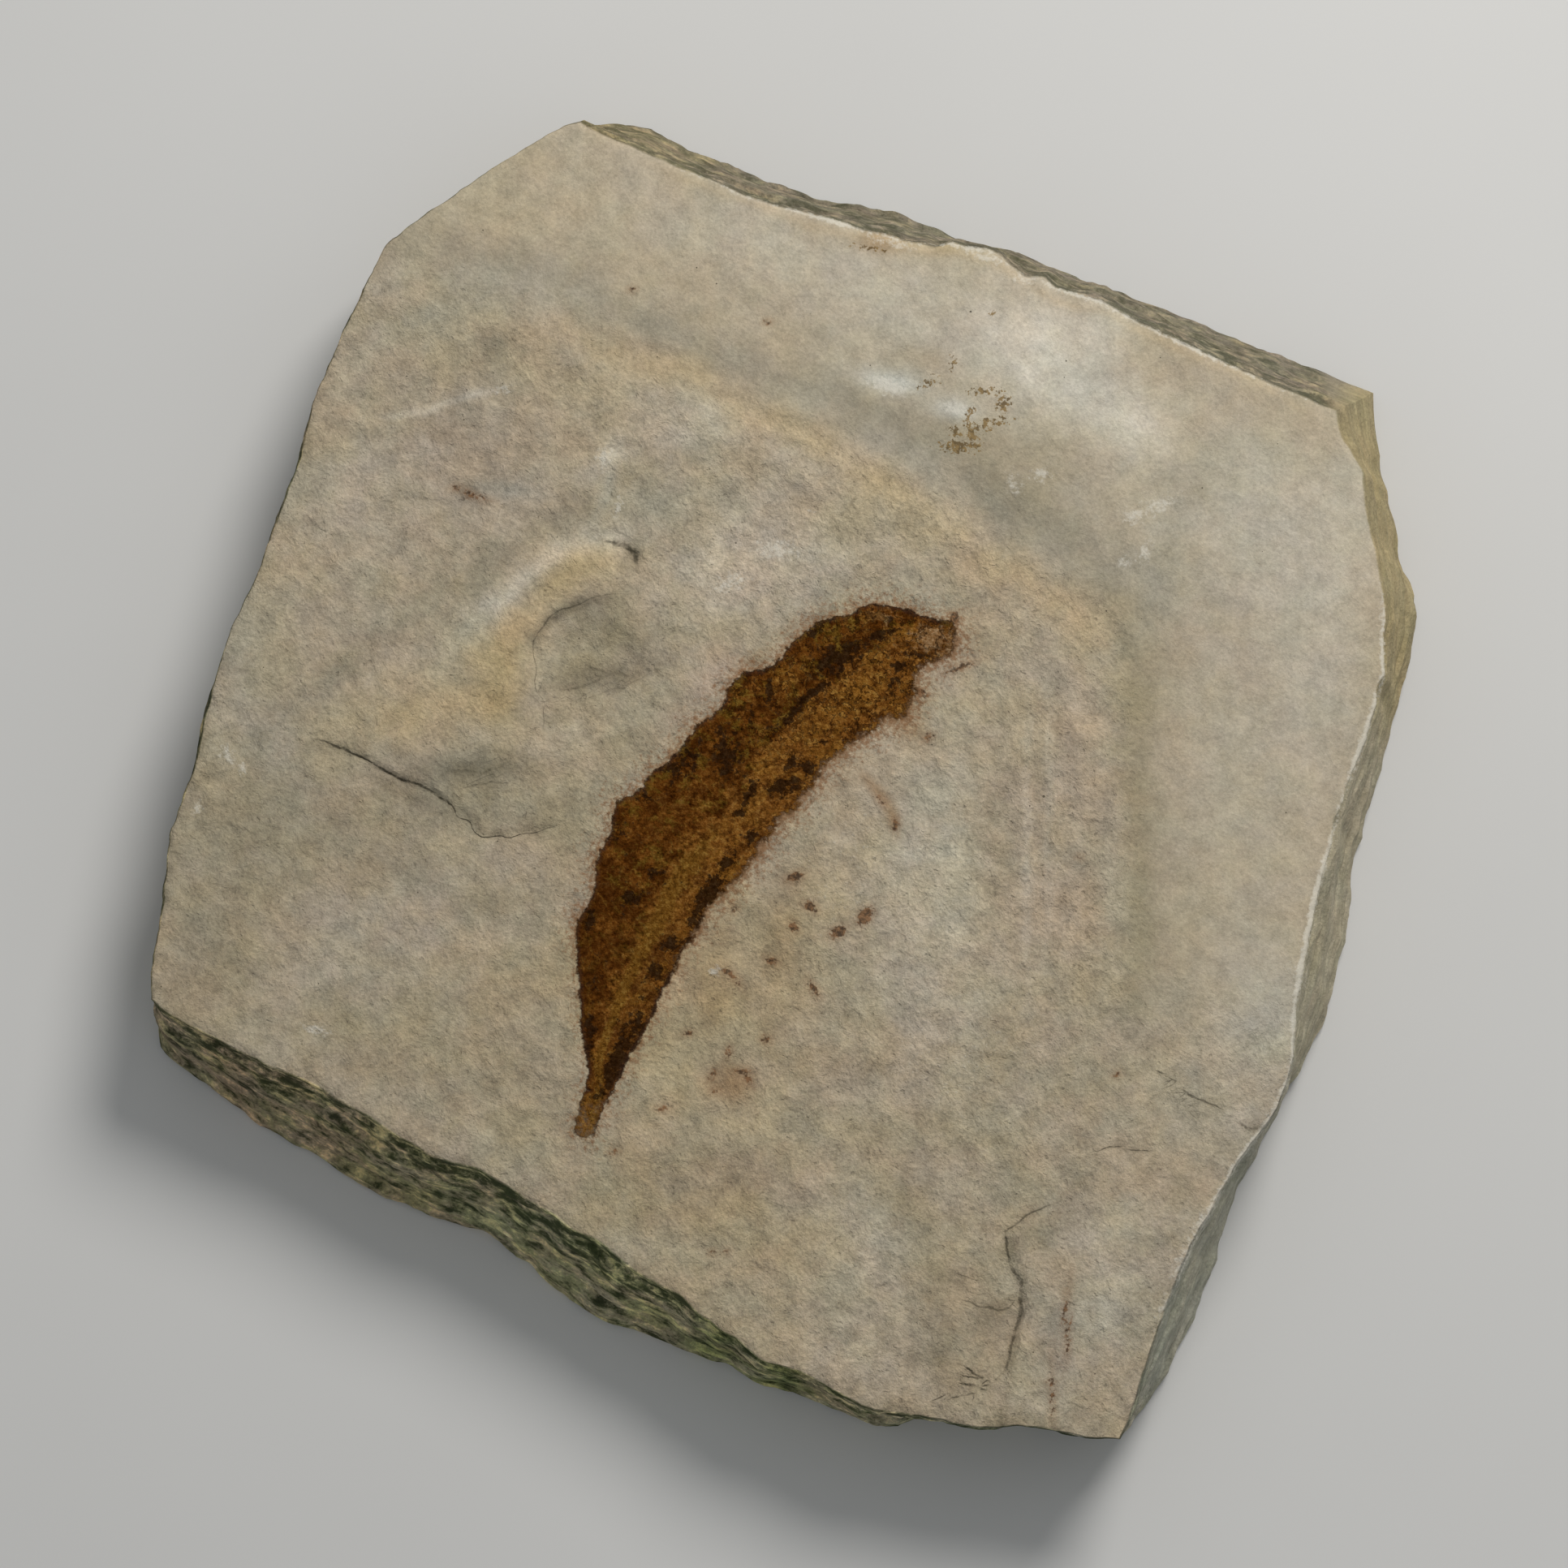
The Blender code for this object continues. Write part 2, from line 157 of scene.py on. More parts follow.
@dataclass(frozen=True)
class Trace:
    """A line of straight runs over the fossil face."""

    points: Line

    def measure(self, x: Array, y: Array) -> tuple[Array, Array]:
        """How places lie to the line, run by run, keeping the nearest run.

        Args:
            x: places to the right.
            y: places to the back.

        Returns:
            The distance, positive on the left of the line's direction, and the share of the line's length
            where the nearest point lies.
        """
        corners = np.asarray(self.points, dtype=float)[:, :2]
        lengths = np.linalg.norm(np.diff(corners, axis=0), axis=1)
        passed = np.concatenate([[0], np.cumsum(lengths)])
        nearest = np.full(np.shape(x), np.inf)
        signed = np.zeros(np.shape(x))
        place = np.zeros(np.shape(x))
        for start, stop, length, before in zip(corners, corners[1:], lengths, passed):
            run = (stop - start) / length
            along = np.clip((x - start[0]) * run[0] + (y - start[1]) * run[1], 0, length)
            off_x = x - start[0] - along * run[0]
            off_y = y - start[1] - along * run[1]
            away = np.hypot(off_x, off_y)
            closer = away < nearest
            side = np.sign(run[0] * off_y - run[1] * off_x)
            nearest = np.where(closer, away, nearest)
            signed = np.where(closer, away * side, signed)
            place = np.where(closer, (before + along) / passed[-1], place)
        return signed, place

    def distance(self, x: Array, y: Array) -> Array:
        """The distance from the line, positive on the left of its direction."""
        return self.measure(x, y)[0]

    def depth(self, x: Array, y: Array) -> Array:
        """How deep places lie inside a closed line, by the even-odd rule.

        A place is inside where a ray to its right crosses the line an odd number of times.

        Args:
            x: places to the right.
            y: places to the back.

        Returns:
            The distance from the line, below 0 outside it.
        """
        inside = np.zeros(np.shape(x), dtype=bool)
        for (start_x, start_y), (stop_x, stop_y) in zip(self.points, self.points[1:]):
            if start_y != stop_y:
                crossing = start_x + (y - start_y) * (stop_x - start_x) / (stop_y - start_y)
                inside ^= ((start_y > y) != (stop_y > y)) & (x < crossing)
        away = np.abs(self.distance(x, y))
        return np.where(inside, away, -away)


def fade_ends(place: Array) -> Array:
    """1 along most of a line and 0 at both its ends: 1 - |2p - 1|^6 of the share p of its length."""
    return 1 - np.abs(2 * place - 1) ** 6


@dataclass(frozen=True)
class Ripple:
    """Smooth random relief over a plane, the same on each run: gradient noise on a square lattice."""

    seed: int

    def pull(self, column: Array, row: Array, right: Array, up: Array) -> Array:
        """How much one lattice point raises or lowers a place.

        The lattice point's column, row and seed are multiplied and mixed into a well-spread whole number.
        It sets a direction, and the pull is that direction times the way from the lattice point.

        Args:
            column: the lattice point's column.
            row: its row.
            right: the way to the place along the row.
            up: the way to the place along the column.

        Returns:
            The height that this lattice point gives the place.
        """
        mixed = column * MIXERS[0] + row * MIXERS[1] + self.seed * MIXERS[2]
        mixed = (mixed ^ (mixed >> 13)) * MIXERS[3]
        turn = ((mixed ^ (mixed >> 16)) % DIRECTIONS) * (2 * np.pi / DIRECTIONS)
        return np.cos(turn) * right + np.sin(turn) * up

    def waves(self, x: Array, y: Array) -> Array:
        """One layer of relief, with lumps about one unit apart.

        The pulls of the four lattice points round a place are blended with 6s^5 - 15s^4 + 10s^3.

        Args:
            x: places along the rows.
            y: places along the columns.

        Returns:
            Heights from about -1 to 1.
        """
        column = np.floor(x).astype(np.int64)
        row = np.floor(y).astype(np.int64)
        right = x - column
        up = y - row
        blend_x = right**3 * (right * (right * 6 - 15) + 10)
        blend_y = up**3 * (up * (up * 6 - 15) + 10)
        near = self.pull(column, row, right, up)
        near = near + blend_x * (self.pull(column + 1, row, right - 1, up) - near)
        far = self.pull(column, row + 1, right, up - 1)
        far = far + blend_x * (self.pull(column + 1, row + 1, right - 1, up - 1) - far)
        return 1.5 * (near + blend_y * (far - near))

    def layered(self, x: Array, y: Array, size: float, layers: int = 3) -> Array:
        """Layers of relief, each half as high and half as wide as the one before.

        Args:
            x: places along the rows.
            y: places along the columns.
            size: how far apart the widest lumps are.
            layers: how many layers there are.

        Returns:
            The sum of the layers.
        """
        total = np.zeros(np.shape(x))
        for layer in range(layers):
            finer = 2**layer / size
            total = total + self.waves(x * finer + 17.3 * layer, y * finer - 9.1 * layer) / 2**layer
        return total


# The relief of the fossil face


@dataclass(frozen=True)
class Crack:
    """A crack, or a small step's foot with painted shadow.

    Its route is x, y and half width, then come its depth and darkness.
    """

    route: Line
    depth: float
    darkness: float

    def measure(self, x: Array, y: Array) -> tuple[Array, Array, Array]:
        """How places lie to the crack.

        Args:
            x: places to the right.
            y: places to the back.

        Returns:
            The distance from the crack's middle, the crack's half width at the nearest point, and the share
            of its length there.
        """
        waver = Ripple(21)
        moved_x = x + 0.2 * waver.layered(x, y, 1.8, 2)
        moved_y = y + 0.2 * waver.layered(x + 50, y, 1.8, 2)
        away, place = Trace(self.route).measure(moved_x, moved_y)
        route = np.array(self.route)
        passed = lengths_along(route)
        return away, np.interp(place, passed / passed[-1], route[:, 2]), place


@dataclass(frozen=True)
class LowStep:
    """A low step in the bedding, up on the left of its route, that levels out again on both sides."""

    route: Line
    height: float
    width: float = 0.6
    reach: float = 3


# Cracks and the feet of small steps. Along the flake's scarp, the hollow's rim and the small scarps near (33
# to 39, -31 to -34), the dark line is partly painted shadow.
FLAKE_CRACK = (
    (-44.6, 0.6, 0.05), (-43.2, 0.1, 0.08), (-41.5, -0.5, 0.11), (-39.4, -1.6, 0.08), (-37.2, -2.9, 0.12),
    (-35.2, -3.7, 0.1), (-33.4, -4.7, 0.11), (-31.7, -5.7, 0.08), (-31.2, -6.9, 0.04), (-30.2, -7.2, 0.05),
    (-29.6, -8.2, 0.04), (-28.8, -8.7, 0.05), (-26.5, -8.8, 0.03), (-24.6, -8.3, 0.03), (-23.1, -7.9, 0.04),
    (-21.4, -7.5, 0.03),
)
HOLLOW_CRACK = (
    (-23.2, 0.2, 0.02), (-23.3, 1.8, 0.03), (-23.2, 3.8, 0.03), (-24, 5, 0.03), (-24.2, 8, 0.03),
    (-24.2, 9.8, 0.04), (-23.4, 11.6, 0.06), (-22, 12.7, 0.06), (-20, 13.4, 0.05), (-18.6, 14.1, 0.06),
    (-17.2, 14.2, 0.05), (-15.7, 14.4, 0.04),
)
CORNER_CRACK = (
    (24.6, -42.6, 0.04), (23.2, -43.1, 0.07), (21.4, -43.8, 0.09), (19.2, -45.4, 0.09), (19.5, -48.4, 0.12),
    (20.6, -50.2, 0.16), (20.6, -52.3, 0.2), (20, -54.6, 0.15), (19.5, -56.6, 0.12), (19, -58.4, 0.12),
    (17.6, -59.4, 0.09),
)
CRACKS = (
    Crack(FLAKE_CRACK, 0.1, 0.95),
    Crack(HOLLOW_CRACK, 0.05, 0.45),
    Crack(((-23, 4, 0.03), (-20.8, 4.2, 0.04), (-18.2, 4.9, 0.03), (-15, 5.6, 0.03)), 0.03, 0.4),
    Crack(((-22.4, 5, 0.06), (-19.6, 5.6, 0.12), (-17.6, 6.6, 0.1), (-15.5, 7.6, 0.12)), 0.05, 0.32),
    Crack(((-19.4, 7.5, 0.1), (-17.2, 6.9, 0.14), (-14.9, 6.5, 0.08)), 0.05, 0.32),
    Crack(((-18.4, 4.9, 0.08), (-16.2, 5.4, 0.1), (-13.4, 6.9, 0.06)), 0.04, 0.3),
    Crack(((-34.5, -1, 0.08), (-31.6, -2.6, 0.14), (-29, -2.9, 0.12), (-26.2, -1.6, 0.1)), 0.05, 0.3),
    Crack(((-30.5, -1.2, 0.08), (-27.5, -0.6, 0.1), (-24.5, -2, 0.1)), 0.04, 0.3),
    Crack(((-31.4, -4.4, 0.06), (-28, -3.6, 0.1), (-26, -3.8, 0.06)), 0.04, 0.35),
    Crack(((-17.8, 19.4, 0.12), (-16, 19.2, 0.22), (-14.8, 18.4, 0.3), (-14.7, 17, 0.18)), 0.05, 0.8),
    Crack(CORNER_CRACK, 0.16, 0.6),
    Crack(((17.6, -59.9, 0.08), (16.4, -59.6, 0.15), (14.9, -59.3, 0.06)), 0.08, 1),
    Crack(((17.5, -59.1, 0.06), (16.4, -58.6, 0.13), (15.3, -57.9, 0.06)), 0.08, 1),
    Crack(((12.2, -60.9, 0.05), (13.6, -60.4, 0.06)), 0.05, 0.7),
    Crack(((13.9, -60.9, 0.05), (15.9, -60.2, 0.07)), 0.05, 0.7),
    Crack(((15, -51.7, 0.07), (16.3, -52.2, 0.1), (18.3, -52.7, 0.1), (19.7, -52.3, 0.07)), 0.06, 0.5),
    Crack(((14.5, -49.2, 0.05), (16.8, -49.9, 0.07)), 0.04, 0.4),
    Crack(((27.4, -38.2, 0.05), (28.6, -37.8, 0.07), (29.9, -37.5, 0.04)), 0.03, 0.7),
    Crack(((30.4, -37.9, 0.06), (32.4, -38.1, 0.05)), 0.03, 0.7),
    Crack(((33, -30.5, 0.05), (34, -31.2, 0.12), (34.9, -31.8, 0.05)), 0.04, 0.6),
    Crack(((34.8, -32.2, 0.06), (36.2, -33, 0.14), (37.6, -33.4, 0.1), (39.4, -34.3, 0.06)), 0.04, 0.55),
    Crack(((33.4, -31.8, 0.05), (35.2, -33.6, 0.08), (37.2, -35.6, 0.05)), 0.03, 0.3),
    Crack(((40.4, -35.6, 0.08), (41.8, -36, 0.2), (44.6, -36.3, 0.24), (47, -36.8, 0.1)), 0.2, 1),
)

LOW_STEPS = (
    LowStep(((-41, 30.8), (-37.3, 31), (-34.9, 31.9), (-32.2, 32.4), (-29.8, 33.4), (-27.4, 34.2)), -0.16),
    LowStep(((-48, 5.5), (-42, 9), (-36.6, 12.6), (-32, 15.6), (-28.7, 17.8)), -0.18, 1.6),
    LowStep(((-18.7, 27.2), (-16, 25.9), (-13.6, 24.4), (-10.8, 20.9)), 0.1, 0.7),
    LowStep(((-22.5, 42.3), (-18.7, 39.8), (-14, 38.2), (-9, 37)), 0.12, 0.6),
    LowStep(((-10, 35), (-2, 31.6), (6, 27.3), (13, 23.4)), 0.1, 0.6),
    LowStep(((9, 23.6), (13, 20.6), (18.2, 16.5), (22.5, 14.3), (26, 13.4)), 0.09, 0.7),
    LowStep(((-5, 33.2), (1.5, 30.3), (4.6, 31), (7.4, 28.4)), 0.08, 0.5),
    LowStep(((28, -2), (28.6, -7), (28, -12), (28.9, -18), (28.2, -24)), -0.1, 0.6, 1.5),
    LowStep(((28.6, 11), (28, 7), (28.8, 3), (28, -2)), -0.13, 0.6, 1.5),
    LowStep(((19.7, -46), (22.1, -45.5), (25.5, -45.1)), 0.12, 0.7, 1.5),
    LowStep(((9, -47), (10.5, -51), (12.5, -55), (14, -58)), 0.14, 1.4, 2.5),
)


@dataclass(frozen=True)
class FaceRelief:
    """The height of the fossil face over the plate."""

    thickness: float = 13
    allowance: float = 0.2
    swells: Line = (
        (71, 20, 40, 0.12), (47, 75, 160, 0.1), (33, 130, 300, 0.07), (24, 50, 220, 0.05),
    )
    band_step: Trace = Trace((
        (-48, 44), (-36.5, 45.5), (-25, 42), (-13.5, 36), (1.5, 29), (15, 22.5), (20.5, 18), (29.5, 11.5),
        (30, 1), (30, -14), (29.5, -40),
    ))
    band_drop: float = 0.7
    band_drop_width: Pair = (0, 6.5)
    band_fade_y: Pair = (-34, -20)
    lip_height: float = 0.2
    lip_offset: float = -2.6
    lip_width: float = 2.2
    flake_scarp: Trace = Trace((
        (-44.5, 0.5), (-41.5, -0.5), (-37, -3), (-31.5, -5.5), (-29, -8.5), (-26.5, -8.5), (-21.5, -7.5),
        (-23, 0), (-24.5, 9), (-23.5, 11.5), (-20, 13.3), (-16, 14.5), (-14, 17),
    ))
    flake_flank: Trace = Trace((
        (-46, 1), (-40, 7), (-34, 11.5), (-27, 16.5), (-20, 19.5), (-13, 20),
    ))
    flake_height: float = 0.28
    scarp_width: float = 0.4
    flank_width: Pair = (-5, 2)
    flake_left_fade: Pair = (-46, -40)
    flake_right_fade: Pair = (-18, -13)
    hollow_centre: Pair = (-19, 8)
    hollow_radii: Pair = (5.5, 4)
    hollow_depth: float = 0.7
    corner_step: Trace = Trace((
        (24, -43.5), (19.2, -45.6), (20.5, -51.5), (19, -58.5), (17.5, -67),
    ))
    corner_height: float = 0.6
    corner_width: float = 0.9
    corner_reach: float = 14
    corner_fade_y: Pair = (-47, -42)
    rib_places: tuple[float, ...] = (21.4, 23.4, 25.8)
    rib_height: float = 0.06
    lump_height: float = 0.1
    wrinkle_height: float = 0.055
    crumb_height: float = 0.02
    grain_turn: float = -52
    rough_patches: Line = ((-28.2, 36.5, 4, 6.5, 0.15), (16, -53, 4.5, 6.5, 0.14), (-10, 5, 6, 3.5, 0.08))
    lumps: Ripple = Ripple(11)
    wrinkles: Ripple = Ripple(12)
    crumbs: Ripple = Ripple(13)

    def band(self, x: Array, y: Array) -> Array:
        """The smooth outer band above the middle of the face, and the lip along the step between them.

        Args:
            x: places to the right.
            y: places to the back.

        Returns:
            -drop where the face is low, rising by a smooth step to 0 on the band, plus a bell along the lip.
        """
        wander = 0.8 * self.lumps.layered(x + 40, y, 6, 3)
        from_step = self.band_step.distance(x, y) + wander
        strength = ramp(y, *self.band_fade_y)
        band = self.band_drop * (ramp(from_step, *self.band_drop_width) * strength - 1)
        uneven = 1 + 0.35 * self.lumps.waves(x / 5, y / 5)
        return band + strength * self.lip_height * uneven * bell(from_step - self.lip_offset, self.lip_width)

    def flake(self, x: Array, y: Array) -> Array:
        """The raised flake, sharp along its scarp and soft on its flank, and the hollow beside it.

        Args:
            x: places to the right.
            y: places to the back.

        Returns:
            The product of the two smooth steps and the fades at both ends, less a bell for the hollow.
        """
        sharp = ramp(self.flake_scarp.distance(x, y), 0, self.scarp_width)
        soft = ramp(-self.flake_flank.distance(x, y), *self.flank_width)
        ends = ramp(x, *self.flake_left_fade) * (1 - ramp(x, *self.flake_right_fade))
        hollow = bell(oval_reach(x, y, self.hollow_centre, self.hollow_radii, 0), 1)
        return self.flake_height * sharp * soft * ends - self.hollow_depth * hollow

    def corner(self, x: Array, y: Array) -> Array:
        """The raised sheet at the front right, which thins out away from its step.

        Args:
            x: places to the right.
            y: places to the back.

        Returns:
            A smooth step across the line times a bell of the distance from it.
        """
        from_step = self.corner_step.distance(x, y)
        sheet = ramp(from_step, 0, self.corner_width) * bell(np.maximum(from_step, 0), self.corner_reach)
        return self.corner_height * sheet * (1 - ramp(y, *self.corner_fade_y))

    def roughness(self, x: Array, y: Array) -> Array:
        """How rough the bedding is: 1 in the middle of the face and little on the outer band.

        Args:
            x: places to the right.
            y: places to the back.

        Returns:
            The roughness, from 0.2 to 1.
        """
        inside = 1 - ramp(self.band_step.distance(x, y), -1.5, 3.5) * ramp(y, *self.band_fade_y)
        calm = 0.3 * ramp(x + 0.4 * y, 8, 22) * (1 - ramp(y, -36, -26))
        return 0.2 + 0.8 * inside * (1 - calm) * (0.78 + 0.22 * ramp(x - 0.45 * y, -30, -8))

    def fine(self, x: Array, y: Array) -> Array:
        """Lumps, slanting wrinkles and crumbs of the bedding plane, with the ribs and the rough patches.

        The wrinkles are noise in axes turned by grain_turn and stretched to three times their width.

        Args:
            x: places to the right.
            y: places to the back.

        Returns:
            The small relief.
        """
        along, across = turned_axes(x, y, self.grain_turn)
        rough = self.roughness(x, y)
        bent = across + 0.6 * self.crumbs.waves(x / 4, y / 4)
        relief = self.lump_height * self.lumps.layered(x, y, 5, 2)
        relief = relief + self.wrinkle_height * self.wrinkles.layered(along / 1.4, bent, 1.9, 2)
        relief = rough * (relief + self.crumb_height * self.crumbs.layered(x, y, 1.2, 1))
        for place in self.rib_places:
            wander = x - place - 0.5 * self.lumps.waves(y / 9, np.full_like(y, place))
            reach = ramp(y, -28, -20) * (1 - ramp(y, 6, 11))
            relief = relief + self.rib_height * reach * bell(wander, 0.55)
        for centre_x, centre_y, radius_x, radius_y, height in self.rough_patches:
            patch = bell(oval_reach(x, y, (centre_x, centre_y), (radius_x, radius_y), -20), 1)
            relief = relief + height * patch * self.crumbs.layered(x, y, 2.6, 3)
        return relief

    def steps(self, x: Array, y: Array) -> Array:
        """The low steps and the grooves of the cracks.

        Args:
            x: places to the right.
            y: places to the back.

        Returns:
            For each step, its height times a centred smooth step and a bell of the distance, faded at both
            ends; for each crack, a bell of its depth downwards.
        """
        relief = np.zeros(np.shape(x))
        for step in LOW_STEPS:
            away, place = Trace(step.route).measure(x, y)
            lifted = ramp(away, -0.5 * step.width, 0.5 * step.width) - 0.5
            relief = relief + step.height * lifted * bell(away, step.reach) * fade_ends(place)
        for crack in CRACKS:
            away, width, place = crack.measure(x, y)
            deep = crack.depth * np.minimum(width / 0.1, 1.3)
            relief = relief - deep * bell(away, width + 0.14) * fade_ends(place)
        return relief

    def height(self, x: Array, y: Array) -> Array:
        """The height of the fossil face above the ground, the sum of all its relief.

        Args:
            x: places to the right.
            y: places to the back.

        Returns:
            The height.
        """
        height = self.thickness - self.allowance + self.band(x, y) + self.flake(x, y) + self.corner(x, y)
        for length, direction, phase, swell in self.swells:
            travel = turned_axes(x, y, direction)[0] / length
            height = height + swell * (np.sin(2 * np.pi * travel + np.radians(phase)) - 1)
        return height + self.fine(x, y) + self.steps(x, y)


RELIEF = FaceRelief()


# The colours of the stone


def albedo(red: float, green: float, blue: float) -> Triple:
    """The surface colour that shows as the given screen colour on the lit face.

    Args:
        red: the screen's red, 0 to 255.
        green: its green.
        blue: its blue.

    Returns:
        The linear colour, divided by the light that the face gets.
    """
    screen = np.array([red, green, blue]) / 255
    linear = np.where(screen <= 0.04045, screen / 12.92, ((screen + 0.055) / 1.055) ** 2.4)
    return tuple(float(part) for part in linear / FACE_LIGHT)


class Tint(Enum):
    """The colours that the shale shows."""

    BUFF = (166, 153, 130)
    SAND = (172, 159, 134)
    CREAM = (184, 175, 158)
    CHALK = (200, 194, 179)
    MIST = (175, 171, 156)
    CAP = (194, 180, 158)
    FROST = (188, 188, 180)
    DUSK = (108, 100, 82)
    BLUE_GREY = (153, 149, 135)
    RIDGE = (178, 158, 126)
    OCHRE = (172, 151, 110)
    ROSE = (166, 148, 130)
    MAUVE = (152, 140, 127)
    OLIVE = (147, 136, 111)
    SLATE = (128, 120, 104)
    DRAB = (139, 129, 107)
    UMBER = (144, 119, 88)
    SHADE_GREEN = (168, 162, 134)
    SHADE_GREY = (164, 150, 126)
    BACK_GREY = (125, 117, 101)
    BARK = (136, 124, 99)
    CHIP = (148, 135, 103)
    MOSS = (112, 128, 70)
    ASH = (146, 144, 130)
    FLANK = (155, 147, 126)

    def colour(self) -> Array:
        """The tint as a linear surface colour."""
        return np.array(albedo(*self.value))


@dataclass(frozen=True)
class Oval:
    """An oval patch: its middle, half lengths along and across, turn in degrees and strength."""

    x: float
    y: float
    along: float
    across: float
    turn: float = 0
    strength: float = 1

    def reach(self, x: Array, y: Array) -> Array:
        """How far out places lie in the oval: 0 in its middle and 1 on its edge."""
        return oval_reach(x, y, (self.x, self.y), (self.along, self.across), self.turn)

    def share(self, x: Array, y: Array, softness: float = 1) -> Array:
        """How much of the oval's mark lies at places: a bell of the reach."""
        return self.strength * bell(self.reach(x, y), softness)


def ovals(*rows: tuple[float, ...]) -> tuple[Oval, ...]:
    """Ovals from rows of their numbers."""
    return tuple(Oval(*row) for row in rows)


def cover(x: Array, y: Array, marks: tuple[Oval, ...], softness: float = 1) -> Array:
    """How strongly some ovals cover places, from 0 to 1: the greatest of their shares."""
    return np.max([mark.share(x, y, softness) for mark in marks], axis=0)


@dataclass(frozen=True)
class Streak:
    """A stripe of colour beside a line: the line, how far to its left it lies, its half width and tint."""

    route: Line
    offset: float
    width: float
    tint: Tint
    strength: float

    def share(self, x: Array, y: Array) -> Array:
        """How much of the streak lies at places: a bell of the distance, faded at both ends."""
        away, place = Trace(self.route).measure(x, y)
        return self.strength * bell(away - self.offset, self.width) * fade_ends(place)


ARC = ((-42, 38), (-34, 43.5), (-25, 42), (-13.5, 36.5), (1.5, 29.5), (15, 22.7), (22, 17.5), (29, 11.5))
RIDGE = ((-26, 41), (-17, 38.3), (-10, 35.8), (0, 30.2), (10, 23.8), (18, 17.3), (25.6, 12.7), (28.8, 8))
RIGHT_STEP = ((29.8, 15), (31.4, 8), (31.8, -4), (31.8, -16), (30.8, -29))
FLAKE_RIDGE = ((-14.6, 19.6), (-18.5, 20), (-22, 18.7), (-25, 16), (-28, 13), (-31.5, 10.8))
FLAKE_LANE = ((-15.8, 17.8), (-20, 16.6), (-23.6, 14), (-26.3, 10.2), (-27.5, 6), (-28, 1))
HOLLOW_SHADE = (
    (-24.6, 8.6), (-24.2, 10.6), (-23, 12), (-21.2, 12.9), (-19, 13.5), (-17, 13.9), (-15.2, 14.2),
)
BACK_EDGE = (
    (-16, 57.8), (-11.6, 55.8), (-4.8, 52.8), (0.6, 51.2), (6.5, 49.4), (10.8, 48.4), (14.8, 48.1),
    (18.2, 47.5), (20.3, 45.9), (24.5, 43.8), (28.4, 42.6), (32.1, 40.6), (39.7, 36.8), (48, 32.9),
    (50.6, 31.6),
)
RIGHT_EDGE = (
    (54.6, 18), (54.7, 6.6), (53.9, 4.2), (52.4, -0.5), (50.6, -5.3), (49.4, -9.7), (48.1, -13.7),
    (47, -19), (45.9, -24.4), (45.6, -30.5), (43.2, -35.4), (39.9, -39.9), (36.2, -46.7), (33.6, -53),
    (31.8, -57.5),
)
WORN_EDGES = ((RIGHT_EDGE, 1.7), (BACK_EDGE, 1.1))

